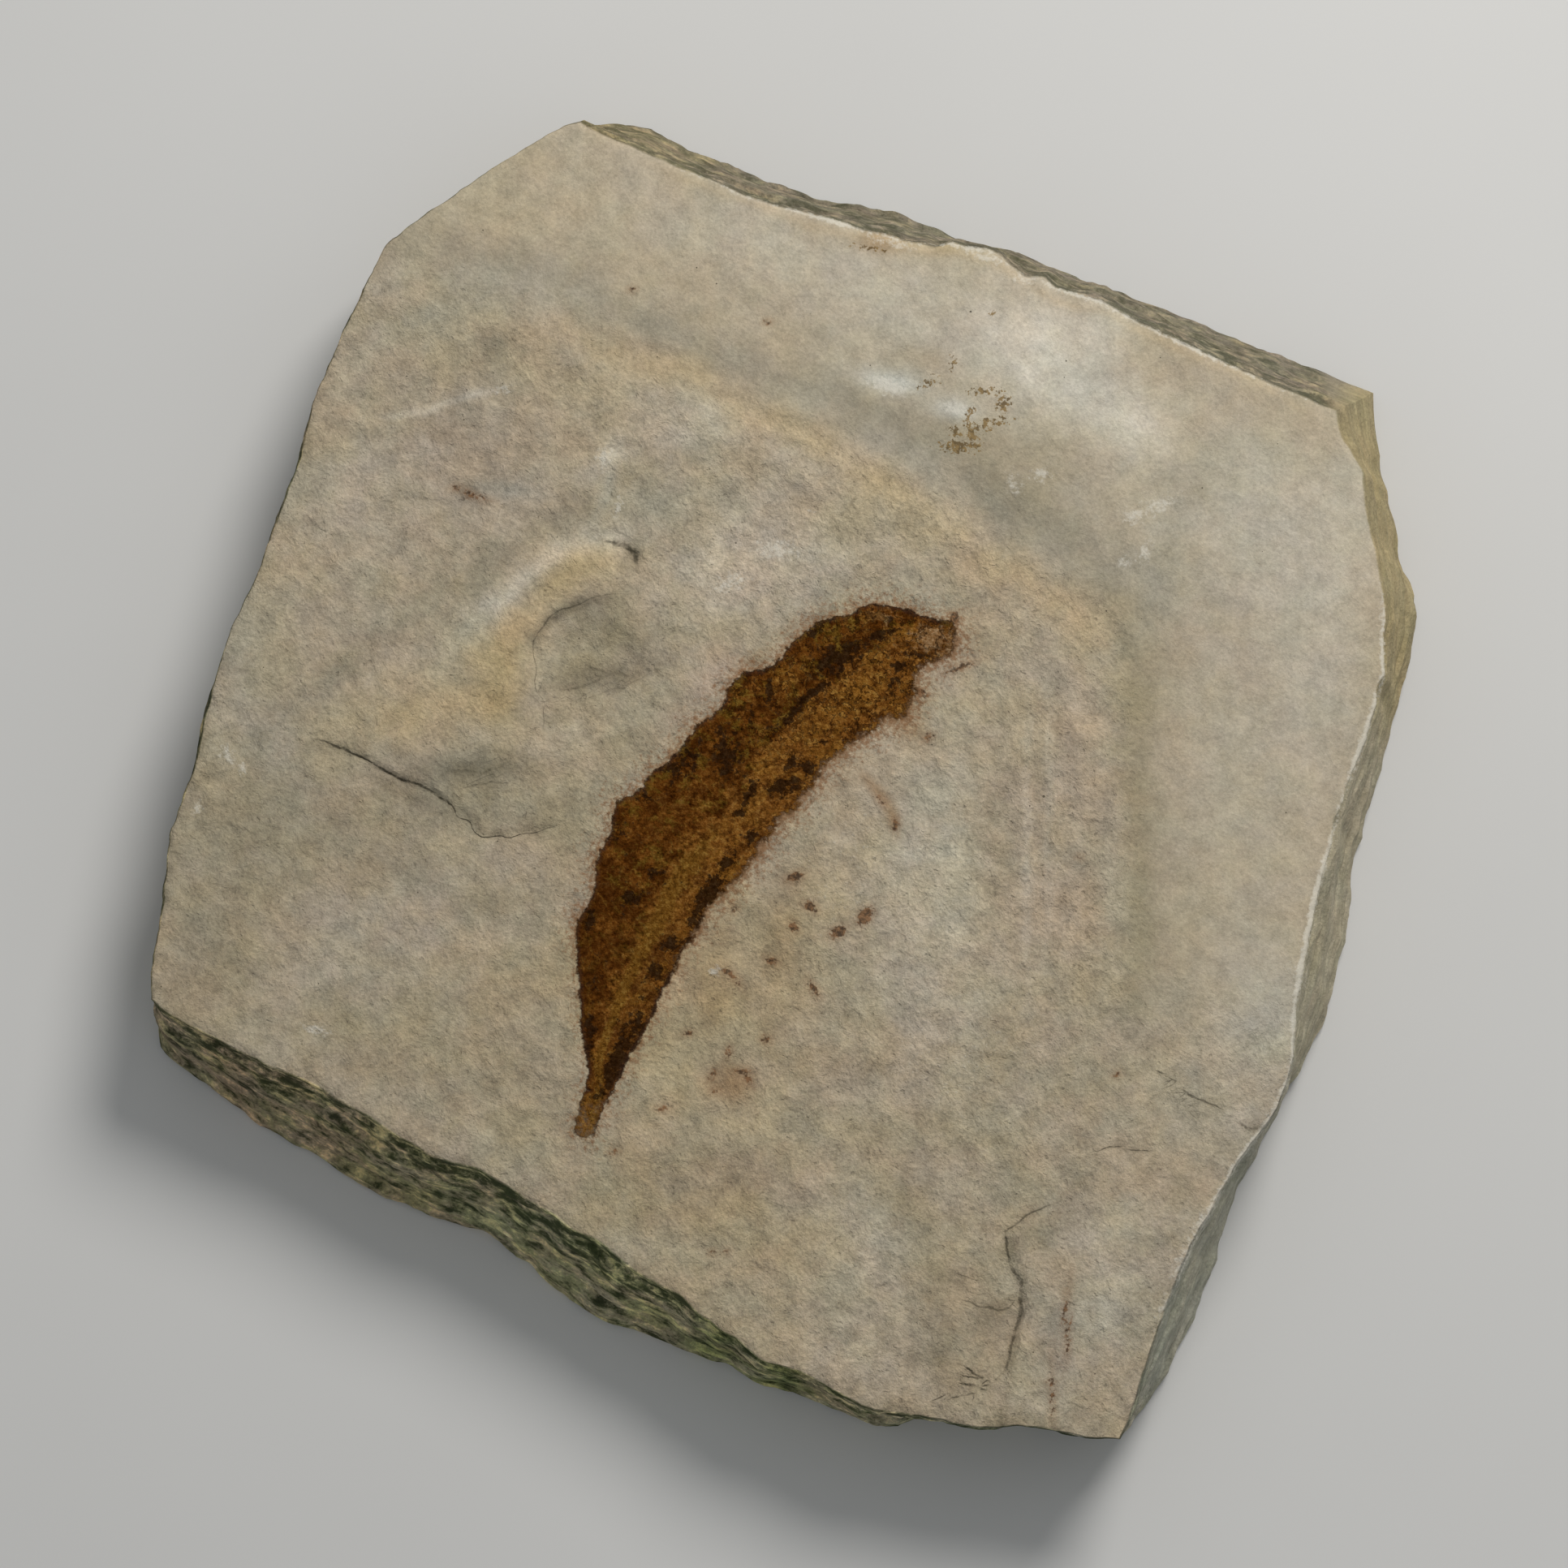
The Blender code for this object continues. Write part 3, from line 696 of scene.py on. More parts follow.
WASHES = {
    Tint.SAND: ovals(
        (-24, 51, 17, 7, -25, 0.8), (-25.2, 38, 1.4, 4, -8, 0.4), (-24, -3, 4, 2.2, 10, 0.35),
    ),
    Tint.CREAM: ovals(
        (-20, 57.5, 6, 2.5, -30, 0.3), (-2, 47.5, 13, 4.5, -22, 0.6), (13, 44, 7, 3.5, -20, 0.5),
        (28, 39.5, 4, 2.5, -20, 0.7), (50, 12, 3, 12, -8, 0.65), (47, 19, 6, 8, 0, 0.5),
        (1, 28.5, 4, 5, 0, 0.3), (-4.6, 16.6, 9, 4.5, 16, 0.85), (12.8, -16, 6, 13, 0, 0.6),
        (-10, 31, 6, 3.5, -25, 0.5), (11, 25.5, 6, 2, -30, 0.45), (-41, -19, 6, 4, 20, 0.45),
        (6, -47, 5, 5, 0, 0.5), (5, -57, 4, 3, 0, 0.5), (28, -50, 3, 6, 0, 0.5),
        (-24.5, 12.4, 3, 2, 40, 0.5), (-40, 24, 5, 5, 0, 0.35),
    ),
    Tint.MIST: ovals(
        (11.4, 40, 9, 6.5, -20, 0.6), (27, 33.6, 3.5, 4, -40, 0.8), (40, 23, 9, 8, 0, 0.5),
        (45.5, 6, 8, 22, -12, 0.45), (42, -27, 5, 8, -15, 0.7), (15.2, 32, 2.2, 1.2, -25, 0.8),
        (-17.5, 23.6, 0.8, 2.6, -20, 0.7), (-30, 11.2, 3.8, 1.6, 45, 0.65), (14, -10.5, 3, 5, 20, 0.3),
    ),
    Tint.OCHRE: ovals(
        (-35, 2.6, 7, 2.6, 12, 0.45), (9, 48.2, 2.6, 1.2, -14, 0.5), (14.6, 47.9, 1.6, 0.7, -5, 0.5),
        (-28, 7, 2.2, 4, 10, 0.5), (-25, -24, 7, 9, 0, 0.25), (-6, -24, 14, 8, 62, 0.48),
        (-6, -46, 14, 5, -28, 0.3),
    ),
    Tint.MAUVE: ovals(
        (-33.1, 26.7, 9, 6, 10, 0.5), (-40.5, 9.5, 4.5, 2.5, 45, 0.4), (-37.4, -16.7, 9, 5.5, 20, 0.4),
        (23.8, -54, 2.2, 5, 0, 0.5),
    ),
    Tint.ROSE: ovals(
        (-3.5, 16, 5, 3, 10, 0.3), (24, -6, 4.5, 18, 0, 0.35), (37, -41, 5, 9, -20, 0.3),
        (-8.5, 5.6, 7.5, 1.4, 47, 0.6), (44, 6, 7, 14, 0, 0.22), (16, 40, 5, 3, 0, 0.35),
    ),
    Tint.OLIVE: ovals(
        (11, 29.6, 7, 1.8, -27, 0.45), (21.5, 21.5, 7, 2.2, -42, 0.7), (28.5, 15, 3, 1.6, -50, 0.6),
        (-20, 7, 3, 3, 10, 0.5), (-39.5, -27.5, 8, 4, -28, 0.5), (-26, -31, 9, 4.5, -20, 0.4),
        (-14, -42, 9, 3.5, -20, 0.5),
    ),
    Tint.DRAB: ovals(
        (19, 26, 7, 4, -35, 0.5), (-28, 37, 1.6, 5.5, -8, 0.6), (-40, 9.2, 10, 1.3, 40, 0.5),
        (-29.5, 17.2, 5, 1.2, 42, 0.55), (-17, 11.6, 4.6, 2.6, 5, 0.8), (-13.8, 10, 2.2, 2.8, 0, 0.6),
        (-29.5, -5, 4, 2.4, 0, 0.7), (-24, -6.6, 4.5, 2, 10, 0.4), (-52, -11, 6, 14, -12, 0.5),
        (-49, -7, 4, 5, 20, 0.45), (-40, -8.5, 5.5, 4.5, 0, 0.6), (-54, -20, 5, 5, 0, 0.4),
        (-27.6, -15, 1.8, 1.5, 0, 0.8), (11.5, -45, 2.6, 7, 14, 0.55), (14, -56, 2.4, 5, 0, 0.55),
        (20, -40, 1.5, 4, 30, 0.4), (-20, -7, 2.4, 3.6, 0, 0.45), (-15, 1.5, 3.5, 3, 40, 0.4),
        (36, 26, 3, 3, 0, 0.35), (-24, -20, 2.5, 3, 0, 0.35), (-12, -24.5, 2.2, 5, 65, 0.2),
    ),
    Tint.BLUE_GREY: ovals(
        (27.5, 22, 3.5, 5, 10, 0.4), (33, 16, 2.5, 7, -10, 0.45), (-33, 41.5, 8, 2, 25, 0.5),
        (-27, 24.3, 3.4, 0.7, -8, 0.8), (-12, 22, 2.2, 4, 35, 0.45), (-50, 3, 5, 8, 20, 0.45),
        (31, -50, 5, 9, -18, 0.25),
    ),
    Tint.SLATE: ovals(
        (-30.4, 24.1, 1.8, 0.9, 0, 0.8), (-20.5, 22.6, 2.2, 1.4, 60, 0.5), (-18, 5.8, 4.6, 1.7, 15, 0.5),
        (-35, -1.8, 3, 1.1, -30, 0.5), (-29.5, -2.4, 4.6, 1.5, 0, 0.7), (8, 31.6, 4, 0.9, -28, 0.22),
        (5, 34, 2.4, 1, -40, 0.28),
    ),
    Tint.CAP: ovals(
        (-6.5, 18, 2.4, 3.6, 20, 0.45), (-19.4, 18.8, 3.3, 1.5, 10, 0.8), (-23.4, 16.8, 2.4, 1.1, 45, 0.7),
    ),
    Tint.FROST: ovals((8.8, 34.5, 2.6, 1.1, -14, 0.9), (15.2, 31.9, 2.4, 0.9, -8, 0.65)),
    Tint.CHALK: ovals(
        (22.6, 37.6, 5.2, 5.6, 20, 0.85), (31.5, 31, 4.5, 4, -60, 0.7), (-17.3, 27.2, 1.2, 2.4, -30, 0.6),
    ),
    Tint.UMBER: ovals(
        (-5.8, -31.6, 1.9, 1.7, 0, 0.85), (-4.2, 7.5, 2.4, 0.8, 32, 0.5), (11.6, 37, 2.6, 1.6, -20, 0.3),
        (7.6, 48, 2.2, 1, -10, 0.65), (-8, -25, 3.4, 2, 70, 0.35), (-7, -19.5, 4.4, 2, 40, 0.4),
        (-1.2, -19.5, 1.8, 3.4, 0, 0.4), (-2, -27, 1.8, 2.6, 40, 0.4), (0, -13, 1.8, 3, 0, 0.4),
        (4.6, -29.5, 3, 1.5, 0, 0.25), (10.8, 1.2, 2.4, 1.1, -30, 0.6), (10.4, 3.4, 1.2, 1.2, 0, 0.5),
        (-4, -40.5, 6, 3, -20, 0.25),
    ),
    Tint.DUSK: ovals(
        (-17, 6.6, 5, 1.1, 12, 0.55), (-29, -2.3, 4.5, 0.9, 0, 0.6), (-35.5, -4.6, 6, 1.1, -30, 0.5),
        (17.6, -53, 2.2, 1.8, 0, 0.5), (23, -45, 4.5, 1.3, 20, 0.35), (2.6, 12.3, 1.5, 0.5, 20, 0.6),
        (-15, 18.4, 0.8, 1.1, 0, 0.5),
    ),
}

STREAKS = (
    # Painted shade: a blue-grey stripe on the slope from the outer band down to the middle, which faces away
    # from the key light
    Streak(ARC, 2.6, 2.6, Tint.BLUE_GREY, 0.45),
    # A warm stripe under the band's step: a warmer tone, lightened as painted light where the lip faces the
    # key light
    Streak(RIDGE, 0, 1.9, Tint.RIDGE, 0.7),
    # Painted shade: an olive stripe on the right step's slope, which faces away from the key light; then a
    # lighter stripe along the lip inside it, partly painted light
    Streak(RIGHT_STEP, 0, 1.7, Tint.OLIVE, 0.8),
    Streak(RIGHT_STEP, -4.4, 1, Tint.RIDGE, 0.3),
    Streak(FLAKE_LANE, -0.3, 2.5, Tint.OCHRE, 0.62),
    Streak(FLAKE_RIDGE, 0, 1, Tint.CHALK, 0.36),
    Streak(FLAKE_RIDGE, -2.6, 1.2, Tint.DRAB, 0.5),
    Streak(HOLLOW_SHADE, 0, 0.6, Tint.DUSK, 0.6),
    Streak(((5.6, -2.6), (7, -4.4), (8.2, -6), (9.4, -8.2)), 0, 0.55, Tint.UMBER, 0.8),
    Streak(((21.4, 6), (21.4, -26)), 0, 0.35, Tint.CREAM, 0.4),
    Streak(((23.4, 7), (23.4, -22)), 0, 0.35, Tint.CREAM, 0.35),
    Streak(((-39.5, 31.8), (-34.9, 31.8), (-29.8, 33.4), (-27.2, 34)), 0, 0.45, Tint.CREAM, 0.6),
    Streak(BACK_EDGE, -0.9, 0.5, Tint.RIDGE, 0.35),
)


# The colours of the broken sides near places on the rim, each as x, y and how far it reaches
SIDE_TINTS: dict[Tint, Line] = {
    Tint.SHADE_GREY: ((-50, -33, 16),),
    Tint.SHADE_GREEN: ((-25, -46, 16), (-5, -58, 14)),
    Tint.MOSS: ((-1.5, -58.5, 2.2), (-7.5, -55, 2)),
    Tint.ASH: ((22, -66, 9), (38, -48, 12)),
    Tint.FLANK: ((51, -14, 12),),
    Tint.CHIP: ((58.5, 14, 7.5), (57, 26, 5), (55.4, 33.6, 3.2)),
    Tint.BACK_GREY: ((48, 37.8, 3.8), (28, 48, 8), (5, 55, 14)),
    Tint.BARK: ((-16, 62, 7),),
    Tint.DRAB: ((-40, 48, 18),),
    Tint.OLIVE: ((-55, 10, 20),),
}


BROWN_SPOTS = ovals(
    (6.5, -16.2, 0.85, 0.5, 55), (4, -17.7, 0.6, 0.42, 30), (1.4, -15.3, 0.5, 0.3, -35),
    (0, -12.5, 0.62, 0.34, 20), (-0.1, -17.2, 0.45, 0.3, -60), (-2.1, -20.4, 0.4, 0.24, -30),
    (1.7, -23, 0.55, 0.24, -60), (-6.3, -21.4, 0.34, 0.14, -20), (-2.7, -27.7, 0.34, 0.26, 0),
    (-6.1, -28.8, 0.34, 0.16, 80), (-7.5, -30.9, 0.3, 0.18, 60), (-4.2, -31.5, 0.34, 0.16, -60),
    (-7.3, -32.4, 0.2, 0.15, 0), (-12.1, -34.1, 0.26, 0.16, 0), (-9.8, -27.1, 0.22, 0.15, 0),
    (-16.6, -38.1, 0.2, 0.14, 0), (7.9, -5.3, 0.35, 0.14, -55), (9.3, -7.7, 0.16, 0.4, 0),
    (12.4, 0.7, 0.34, 0.2, 30), (11.8, 4.9, 0.5, 0.26, -30), (15.3, 7.3, 0.6, 0.12, 20),
    (24.8, -54.1, 0.4, 0.12, 80), (24.7, -55.7, 0.6, 0.1, 85), (24.6, -52.2, 0.6, 0.08, 80),
    (23.2, -59.3, 0.24, 0.2, 0), (23.3, -60.6, 0.7, 0.07, 90), (-30.4, 24, 0.3, 0.2, -30),
    (-31.6, 24.6, 0.24, 0.16, 0), (29.5, -31, 0.16, 0.14, 0), (26.3, -10.7, 0.16, 0.12, 0),
    (-7.5, -47.3, 0.15, 0.12, 0), (-6.2, -47.2, 0.13, 0.1, 0), (-15.3, 43.5, 0.16, 0.12, 0),
    (-2.5, 40.4, 0.17, 0.13, 0), (14.9, 12, 0.3, 0.5, 20), (-5.6, -21.9, 0.45, 0.15, -50),
    (-5, -30.6, 0.4, 0.13, 0), (-5.7, -15.5, 0.24, 0.18, 0), (-29.6, 23.7, 0.4, 0.1, -20),
)

OCHRE_FLECKS = ovals(
    (12.6, 34.5, 1.2, 0.6, 20), (14.8, 36.4, 0.4, 0.9, 0, 0.9), (17.4, 33.6, 2, 0.5, 0),
    (19.6, 32.4, 0.7, 1.4, 0), (20.2, 30.9, 0.5, 0.8, 0), (18.4, 30.5, 1.8, 0.7, 20),
    (16.7, 29.4, 0.8, 1.7, 10, 1.1), (15.1, 28.3, 2, 0.7, -5, 1.2), (16.3, 31.6, 0.8, 0.5, 40),
    (15, 29.8, 0.7, 0.5, 0), (18.4, 41.2, 0.6, 0.3, 10), (7, 47.6, 1.6, 0.4, -10),
)

CHALKY = ovals(
    (20.5, 24.7, 0.9, 1.2, 30), (33.9, 22.7, 2.3, 1, 20), (31.6, 21.6, 1.3, 1, 0),
    (32.6, 18.2, 0.8, 1.6, -20), (30.6, 17.3, 1.2, 0.6, 0), (23, 25.6, 1.4, 0.8, 0),
    (8.8, 34.2, 2.2, 0.9, -14, 1.4), (15, 32, 1.6, 0.7, -14, 1.3), (-7.3, -21.3, 0.6, 0.42, 0, 1.6),
    (-17.8, 27.4, 1, 1.6, -30), (-27.4, 34, 1, 0.7, 0), (-16.6, 22.6, 0.6, 1.6, -20),
    (-52.6, -0.9, 0.7, 1.3, 20), (-51.2, -2.2, 0.8, 0.8, 0), (-55.2, -6.1, 0.5, 1, 0),
    (-44, -26.8, 1.8, 0.6, -10), (-1.5, 18.6, 2.6, 1.2, 0), (-6, 15.4, 2.4, 1, 20),
    (1.4, 22.3, 1, 0.25, -45), (46.6, -21.6, 1.2, 1.4, 0), (9, 48.2, 2.4, 0.6, -14),
    (17.6, 46.9, 2.2, 0.6, -20), (21.5, 44.5, 1.4, 0.6, -20), (42.3, -37, 0.8, 1.2, -30),
    (-31, 55, 1.5, 1, 30), (36.9, -44.7, 0.6, 1.8, -35), (35.2, -48.2, 0.7, 2.3, -25),
    (33.4, -52.4, 0.5, 2, -20), (5, -12, 6, 9, 0), (16, -28, 9, 9, 0),
)
CHALK_HAZE_FROM = 28
CHALK_HAZE = 0.34


def nearest_spot(x: Array, y: Array) -> Array:
    """How far places lie outside the nearest brown spot: the least (reach - 1) times its half width."""
    away = [(spot.reach(x, y) - 1) * min(spot.along, spot.across) for spot in BROWN_SPOTS]
    return np.minimum(np.min(away, axis=0), FAR_FROM_SPOT)


@dataclass(frozen=True)
class LeafOutline:
    """The leaf's two margins and its midrib, each from the foot of the stalk to the tip."""

    left: Line = (
        (-20.2, -36.6), (-19.9, -35), (-19.4, -33.2), (-18.95, -31.5), (-18.9, -30.2), (-19.15, -28.9),
        (-19.4, -27.6), (-19.6, -26.2), (-19.65, -24.9), (-19.75, -23.6), (-19.9, -21.8), (-20, -19.8),
        (-20.1, -18.1), (-20, -16.8), (-19.6, -15.9), (-18.9, -15), (-18.4, -13.7), (-18.2, -12.6),
        (-18.3, -11.9), (-18.1, -10.9), (-17.9, -10.1), (-17.6, -9.5), (-17.1, -9), (-16.9, -8.3),
        (-16.8, -7.3), (-16.6, -6.3), (-16.35, -5.4), (-15.2, -5.1), (-14.6, -4.65), (-14, -4.2),
        (-13.6, -3.7), (-13.4, -3), (-13, -2.5), (-12.3, -2.5), (-11.8, -2), (-11.4, -1.4), (-10.8, -0.8),
        (-10.1, 0.2), (-9.5, 0.9), (-9.1, 1.7), (-8.6, 2.1), (-7.7, 2.4), (-7.1, 3.2), (-6.4, 3.9),
        (-6.2, 5), (-5.9, 5.7), (-5.3, 6.1), (-4.9, 6.7), (-3.9, 6.95), (-2.6, 7), (-2, 7.5), (-1.4, 7.9),
        (-1, 8.5), (-0.3, 9.4), (0.6, 10.2), (1.3, 10.8), (2, 11.4), (3.3, 11.9), (4.5, 12), (5.4, 12.4),
        (6.1, 13), (7, 13.3), (7.9, 13.15), (8.85, 13.05), (10, 12.9), (10.9, 12.7), (11.6, 12.3),
        (12.3, 12.05), (13.2, 11.8), (14.2, 11.65), (14.8, 11.7),
    )
    midrib: Line = (
        (-19.3, -36.7), (-18.9, -35), (-18.4, -33.2), (-18.3, -31.5), (-18.45, -30.2), (-18.35, -29.3),
        (-18, -28), (-17.6, -26.9), (-17.1, -25.4), (-16.5, -23.6), (-15.8, -21.8), (-15.05, -19.8),
        (-14.2, -18.1), (-13.3, -15.9), (-12.4, -13.6), (-11.5, -12.1), (-8.9, -8.7), (-6.6, -5.5),
        (-4, -2.2), (-2.1, 0.6), (0.2, 3.6), (2.1, 5.4), (4.1, 6.9), (6.2, 8.8), (8.4, 10.3), (9.9, 11),
        (12.1, 11.3), (14.7, 11.3),
    )
    right: Line = (
        (-18.4, -36.7), (-18.3, -35.9), (-17.9, -34.6), (-17.35, -33.5), (-16.7, -32.6), (-16.3, -31.5),
        (-15.6, -30), (-15.1, -28.9), (-14.5, -28), (-13.85, -26.9), (-13.2, -25.6), (-12.7, -24.25),
        (-12.2, -23.15), (-11.6, -22.05), (-11.05, -20.95), (-10.7, -19.85), (-10.3, -19.2), (-9.7, -18.4),
        (-9.2, -17.75), (-9, -16.8), (-8.5, -15.9), (-8, -15.2), (-7.3, -14.5), (-6.4, -13.6),
        (-5.5, -12.6), (-4.9, -11.9), (-4.3, -11.1), (-3.4, -10), (-2.7, -8.7), (-2.1, -7.9), (-1.6, -7.1),
        (-0.9, -6.6), (-0.1, -6), (0.3, -5.4), (0.8, -4.4), (1.6, -3.7), (2, -2.9), (2.3, -2.1),
        (3.2, -1.3), (3.9, -0.8), (4.7, 0), (5.6, 0.5), (6.3, 1.1), (7.2, 1.5), (7.8, 2.3), (8.6, 2.8),
        (9.4, 2.7), (10.1, 2.8), (10.4, 3.6), (10.6, 4.3), (11, 4.9), (11, 5.7), (11.1, 6.6), (11.6, 7.4),
        (12.3, 7.9), (13.4, 8.35), (14.3, 8.7), (14.65, 9.2), (14.8, 10), (14.75, 10.8), (14.75, 11.2),
    )
    teeth: int = 60
    tooth_height: float = 0.16

    def toothed_left(self) -> Line:
        """The left margin with its fine teeth, which lean towards the tip.

        Each tooth rises slowly from its notch over most of its length and drops back to the next notch. The
        teeth fade out towards the foot and the tip.

        Returns:
            The notches and points in turn.
        """
        notches = evenly_along(self.left, self.teeth + 1)
        points = evenly_along(self.left, 10 * self.teeth + 1)[8::10]
        share = np.linspace(0, 1, self.teeth)
        uneven = 1 + 0.9 * Ripple(22).waves(share * 17.3, share)
        height = self.tooth_height * uneven * ramp(share, 0.15, 0.35) * (1 - ramp(share, 0.85, 0.98))
        points = points + across_left(points) * (0.7 * height)[:, None]
        inner = notches[:-1] - across_left(points) * (0.3 * height)[:, None]
        line = np.stack([inner, points], axis=1).reshape(-1, 2)
        return tuple(tuple(point) for point in np.vstack([line, notches[-1:]]).tolist())

    def ring(self) -> Trace:
        """The outline as one closed line that has the leaf on its left."""
        return Trace(self.right + self.toothed_left()[::-1] + self.right[:1])


def across_left(line: Array) -> Array:
    """Unit vectors square to a line, pointing to the left of its direction.

    Args:
        line: the line's points.

    Returns:
        One vector for each point, from the direction between its neighbours.
    """
    heading = np.gradient(line, axis=0)
    heading = heading / np.linalg.norm(heading, axis=1)[:, None]
    return np.column_stack([-heading[:, 1], heading[:, 0]])


OUTLINE = LeafOutline()


@dataclass(frozen=True)
class ShaleCoat:
    """What the shale's finish reads at each point of a mesh, worked out from the point's place."""

    warp: Ripple = Ripple(31)
    halo_reach: float = 1.5
    worn_edge: float = 0.36

    def tint(self, x: Array, y: Array) -> Array:
        """The soft colour of the face: washes and streaks laid over buff, their edges warped by noise.

        Some streaks are painted shade and painted light along the outer band's slope and lip,
        and painted shadow in the hollow.

        Args:
            x: places to the right.
            y: places to the back.

        Returns:
            A linear colour for each place.
        """
        moved_x = x + 1.3 * self.warp.layered(x, y, 8, 3)
        moved_y = y + 1.3 * self.warp.layered(x + 90, y - 70, 8, 3)
        near_x = x + 0.4 * (moved_x - x)
        near_y = y + 0.4 * (moved_y - y)
        colour = np.tile(Tint.BUFF.colour(), (len(x), 1))
        for tint, washes in WASHES.items():
            for wash in washes:
                loose = wash.across > 2
                share = wash.share(moved_x if loose else near_x, moved_y if loose else near_y)
                colour += share[:, None] * (tint.colour() - colour)
        for streak in STREAKS:
            colour += streak.share(near_x, near_y)[:, None] * (streak.tint.colour() - colour)
        return colour

    def side_tint(self, x: Array, y: Array) -> Array:
        """The colour of the broken sides: the side tints, each weighed by a bell of its distance.

        Args:
            x: places to the right.
            y: places to the back.

        Returns:
            A linear colour for each place.
        """
        total = np.zeros((len(x), 3))
        weights = np.full(len(x), 1e-6)
        for tint, places in SIDE_TINTS.items():
            for place_x, place_y, reach in places:
                weight = bell(np.hypot(x - place_x, y - place_y), reach)
                total += weight[:, None] * tint.colour()
                weights += weight
        return total / weights[:, None]

    def breaks(self, x: Array, y: Array) -> Array:
        """How boldly the beds show on the broken sides: fully at the front and left, half at the back.

        Args:
            x: places to the right.
            y: places to the back.

        Returns:
            The boldness, from 0.12 on the right to 1.
        """
        back = ramp(y + 0.4 * x, 43, 49) * (1 - ramp(x, 49.8, 51.2))
        left = 1 - ramp(x + 0.3 * y, 6, 20)
        return np.maximum(np.maximum(0.12, 0.55 * back), left * (1 - back))

    def lines(self, x: Array, y: Array) -> Array:
        """The cracks, with the painted shadow at the feet of small steps, and the brown spots.

        Args:
            x: places to the right.
            y: places to the back.

        Returns:
            For each place the distance from the nearest crack in crack widths, how dark that crack is
            there, and the distance outside the nearest brown spot.
        """
        nearest = np.full(len(x), FAR_FROM_CRACK)
        darkness = np.zeros(len(x))
        for crack in CRACKS:
            away, width, place = crack.measure(x, y)
            widths = away / width
            closer = np.abs(widths) < np.abs(nearest)
            nearest = np.where(closer, widths, nearest)
            strength = crack.darkness * (1 - ramp(np.abs(away), 0.7, 1.1)) * (0.2 + 0.8 * fade_ends(place))
            darkness = np.where(closer, strength, darkness)
        return np.column_stack([nearest, darkness, nearest_spot(x, y)])

    def dust(self, x: Array, y: Array) -> Array:
        """The ochre flecks, the chalky scuffs and worn edges, and the leaf's halo.

        The halo falls off as e^-(distance from the leaf / reach). It is weak on the leaf's crisp left and
        beside its lower end.

        Args:
            x: places to the right.
            y: places to the back.

        Returns:
            The three densities for each place.
        """
        outside = -OUTLINE.ring().depth(x, y)
        crisp = ramp(Trace(OUTLINE.midrib).distance(x, y), -1, 1)
        halo = np.exp(-np.maximum(outside, 0) / self.halo_reach)
        halo = halo * (1 - 0.25 * crisp) * (0.6 + 0.4 * ramp(y, -21, -17))
        haze = CHALK_HAZE * cover(x, y, CHALKY[CHALK_HAZE_FROM:])
        chalk = np.maximum(cover(x, y, CHALKY[:CHALK_HAZE_FROM]), haze)
        for edge, strength in WORN_EDGES:
            away, place = Trace(edge).measure(x, y)
            worn = strength * (1 + 0.5 * self.warp.layered(x, y, 6, 3))
            chalk = np.maximum(chalk, worn * bell(away, self.worn_edge) * fade_ends(place))
        return np.column_stack([cover(x, y, OCHRE_FLECKS), chalk, halo])

    def fields(self, x: Array, y: Array, side: Array) -> Fields:
        """Everything that the finish reads.

        Args:
            x: places to the right.
            y: places to the back.
            side: 0 on the face, 1 on the broken sides and 2 on the underside.

        Returns:
            The values by attribute name.
        """
        on_side = np.minimum(side, 1)[:, None]
        under = np.maximum(side - 1, 0)[:, None]
        tint = self.tint(x, y) * (1 - on_side) + self.side_tint(x, y) * on_side
        tint = tint * (1 - under) + Tint.BARK.colour() * under
        lines = self.lines(x, y)
        lines[:, 0] += FAR_FROM_CRACK * on_side[:, 0]
        lines[:, 2] += FAR_FROM_SPOT * on_side[:, 0]
        dust = self.dust(x, y) * (1 - on_side * np.array([1, 0.4, 1]))
        rough = np.where(side > 0, self.breaks(x, y), RELIEF.roughness(x, y))
        place = np.column_stack([rough, on_side, under])
        return {"tint": tint, "lines": lines, "dust": dust, "place": place}


COAT = ShaleCoat()


# Meshes


def grid_quads(rows: int, columns: int, first: int = 0, flip: bool = False) -> Array:
    """Quads over a grid of points numbered row by row.

    Args:
        rows: how many rows of points there are.
        columns: how many points a row has.
        first: the number of the grid's first point.
        flip: whether the faces look down and not up.

    Returns:
        Four point numbers for each face.
    """
    corner = first + np.arange(rows - 1)[:, None] * columns + np.arange(columns - 1)[None]
    quads = np.stack([corner, corner + 1, corner + columns + 1, corner + columns], axis=-1).reshape(-1, 4)
    return quads[:, ::-1] if flip else quads


def grid_border(rows: int, columns: int) -> Array:
    """The numbers of a grid's border points, anticlockwise from the first.

    Args:
        rows: how many rows of points there are.
        columns: how many points a row has.

    Returns:
        The numbers along the front, up the right, back along the back and down the left.
    """
    front = np.arange(columns - 1)
    right = np.arange(rows - 1) * columns + columns - 1
    back = rows * columns - 1 - front
    left = (rows - 1 - np.arange(rows - 1)) * columns
    return np.concatenate([front, right, back, left])


def band_quads(upper: Array, lower: Array) -> Array:
    """Quads between two closed loops of as many points, looking out of loops that run anticlockwise."""
    return np.stack([upper, lower, np.roll(lower, -1), np.roll(upper, -1)], axis=1)


def linked(name: str, data: Any) -> Object:
    """A new object with the given mesh, lamp or camera, linked to the scene."""
    made = bpy.data.objects.new(name, data)
    bpy.context.scene.collection.objects.link(made)
    return made


